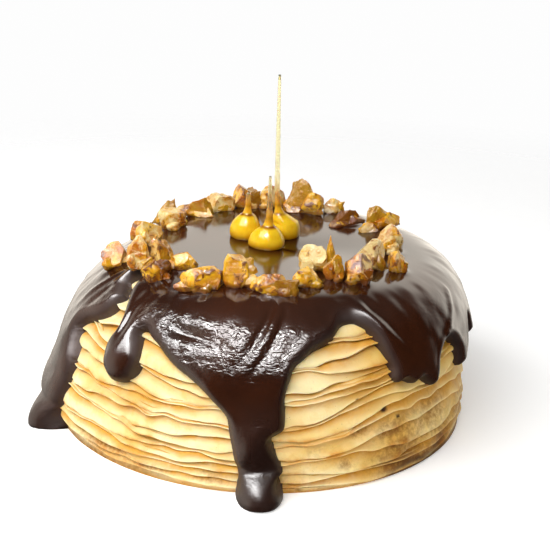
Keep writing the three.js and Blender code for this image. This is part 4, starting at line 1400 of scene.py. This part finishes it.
ROOM_FILL = 0.4          # how bright the white room is on matt surfaces
# How bright it looks in glossy surfaces: in front of the cake, behind it, to its left and
# overhead.
ROOM_DIM = 0.012
ROOM_BRIGHT = 1.85
ROOM_LEFT = 0.9
ROOM_ABOVE = 0.1
ROOM_BELOW = 0.45        # the share left of the bright wall below the horizon
WALL_TURN = 0.27         # how far the bright wall reaches round to the right
ROOM_TINT = (1.0, 0.93, 0.82, 1)
ROOM_SEEN = 0.985        # how bright the camera sees it
# Where the room's brightness changes, as ranges of a unit direction's parts: the bright
# wall's sides and top, the horizon, the left's side and top, and overhead.
WALL_SIDE, WALL_TOP, HORIZON = (0.55, 0.95), (0.55, 0.72), (-0.35, -0.1)
LEFT_SIDE, LEFT_TOP, OVERHEAD = (-0.95, -0.45), (0.3, 0.7), (0.5, 0.95)


class Room:
    """The world's nodes, with short calls for them."""

    def __init__(self, name):
        world = bpy.data.worlds.new(name)
        bpy.context.scene.world = world
        world.use_nodes = True
        self.tree = world.node_tree
        self.tree.nodes.clear()

    def add(self, kind, *inputs, **settings):
        made = self.tree.nodes.new(kind)
        for label, value in settings.items():
            setattr(made, label, value)
        for socket, value in zip(made.inputs, inputs):
            if isinstance(value, bpy.types.NodeSocket):
                self.tree.links.new(value, socket)
            elif value is not None:
                socket.default_value = value
        return made.outputs

    def ramp(self, value, from_range, to_range):
        """A value's place in one range as a smooth place in another."""
        inputs = (value, *from_range, *to_range)
        return self.add("ShaderNodeMapRange", *inputs, interpolation_type="SMOOTHSTEP")["Result"]

    def product(self, first, *others):
        for other in others:
            first = self.add("ShaderNodeMath", first, other, operation="MULTIPLY")[0]
        return first

    def light(self, strength, colour=(1, 1, 1, 1)):
        return self.add("ShaderNodeBackground", colour, strength)[0]


def surroundings():
    """A white room. Glossy surfaces see it bright behind the cake and dim in front."""
    room = Room("white_room")
    way = room.add("ShaderNodeTexCoord")["Generated"]
    aside, back, high = room.add("ShaderNodeSeparateXYZ", way)
    rightwards = room.add("ShaderNodeMath", aside, 0.0, operation="MAXIMUM")[0]
    behind = room.add("ShaderNodeMath", rightwards, WALL_TURN, back, operation="MULTIPLY_ADD")[0]
    wall = room.product(
        room.ramp(behind, WALL_SIDE, (0, ROOM_BRIGHT)),
        room.ramp(high, WALL_TOP, (1, 0)),
        room.ramp(high, HORIZON, (ROOM_BELOW, 1)),
    )
    left = room.product(
        room.ramp(aside, LEFT_SIDE, (ROOM_LEFT, 0)), room.ramp(high, LEFT_TOP, (1, 0))
    )
    total = room.ramp(high, OVERHEAD, (ROOM_DIM, ROOM_ABOVE))
    for part in (wall, left):
        total = room.add("ShaderNodeMath", total, part, operation="ADD")[0]
    mirrored = room.light(total, ROOM_TINT)
    path = room.add("ShaderNodeLightPath")
    matt = room.add("ShaderNodeMixShader", path["Is Glossy Ray"], room.light(ROOM_FILL), mirrored)
    seen = room.add("ShaderNodeMixShader", path["Is Camera Ray"], matt[0], room.light(ROOM_SEEN))
    room.add("ShaderNodeOutputWorld", seen[0])


FLOOR_RADIUS = 1.2       # metres
FLOOR_GLOW = 0.26        # lightens the cake's shadow
FLOOR_FADE = (0.3, 0.62)  # between these it fades into the white room
FLOOR_GAP = 0.2          # it lies this far below the cake


def floor():
    bm = bmesh.new()
    bmesh.ops.create_circle(bm, cap_ends=True, segments=96, radius=FLOOR_RADIUS)
    mesh = bpy.data.meshes.new("pale_floor")
    bm.to_mesh(mesh)
    bm.free()
    f = Finish(
        "pale_floor", Roughness=0.7, Emission_Color=(1, 1, 1, 1), Emission_Strength=FLOOR_GLOW
    )
    grain = f.noise(3, 2)
    far = f.add("ShaderNodeVectorMath", {0: f.coordinates}, operation="LENGTH").outputs["Value"]
    fade = f.span(far, *FLOOR_FADE, 1.0, 0.0)
    colour = f.mix(grain, shade(250, 250, 249), shade(248, 248, 247))
    mesh.materials.append(f.set(Base_Color=colour, Alpha=fade))
    ground = bpy.data.objects.new("pale_floor", mesh)
    bpy.context.scene.collection.objects.link(ground)
    ground.location.z = -FLOOR_GAP * MM
    ground.visible_glossy = False


camera()
crepes()
glaze()
brittle()
hazelnuts()
floor()
surroundings()
for name, light in LIGHTS.items():
    softbox(name, *light)
bpy.context.scene.view_settings.view_transform = "Standard"
bpy.context.scene.view_settings.look = "None"
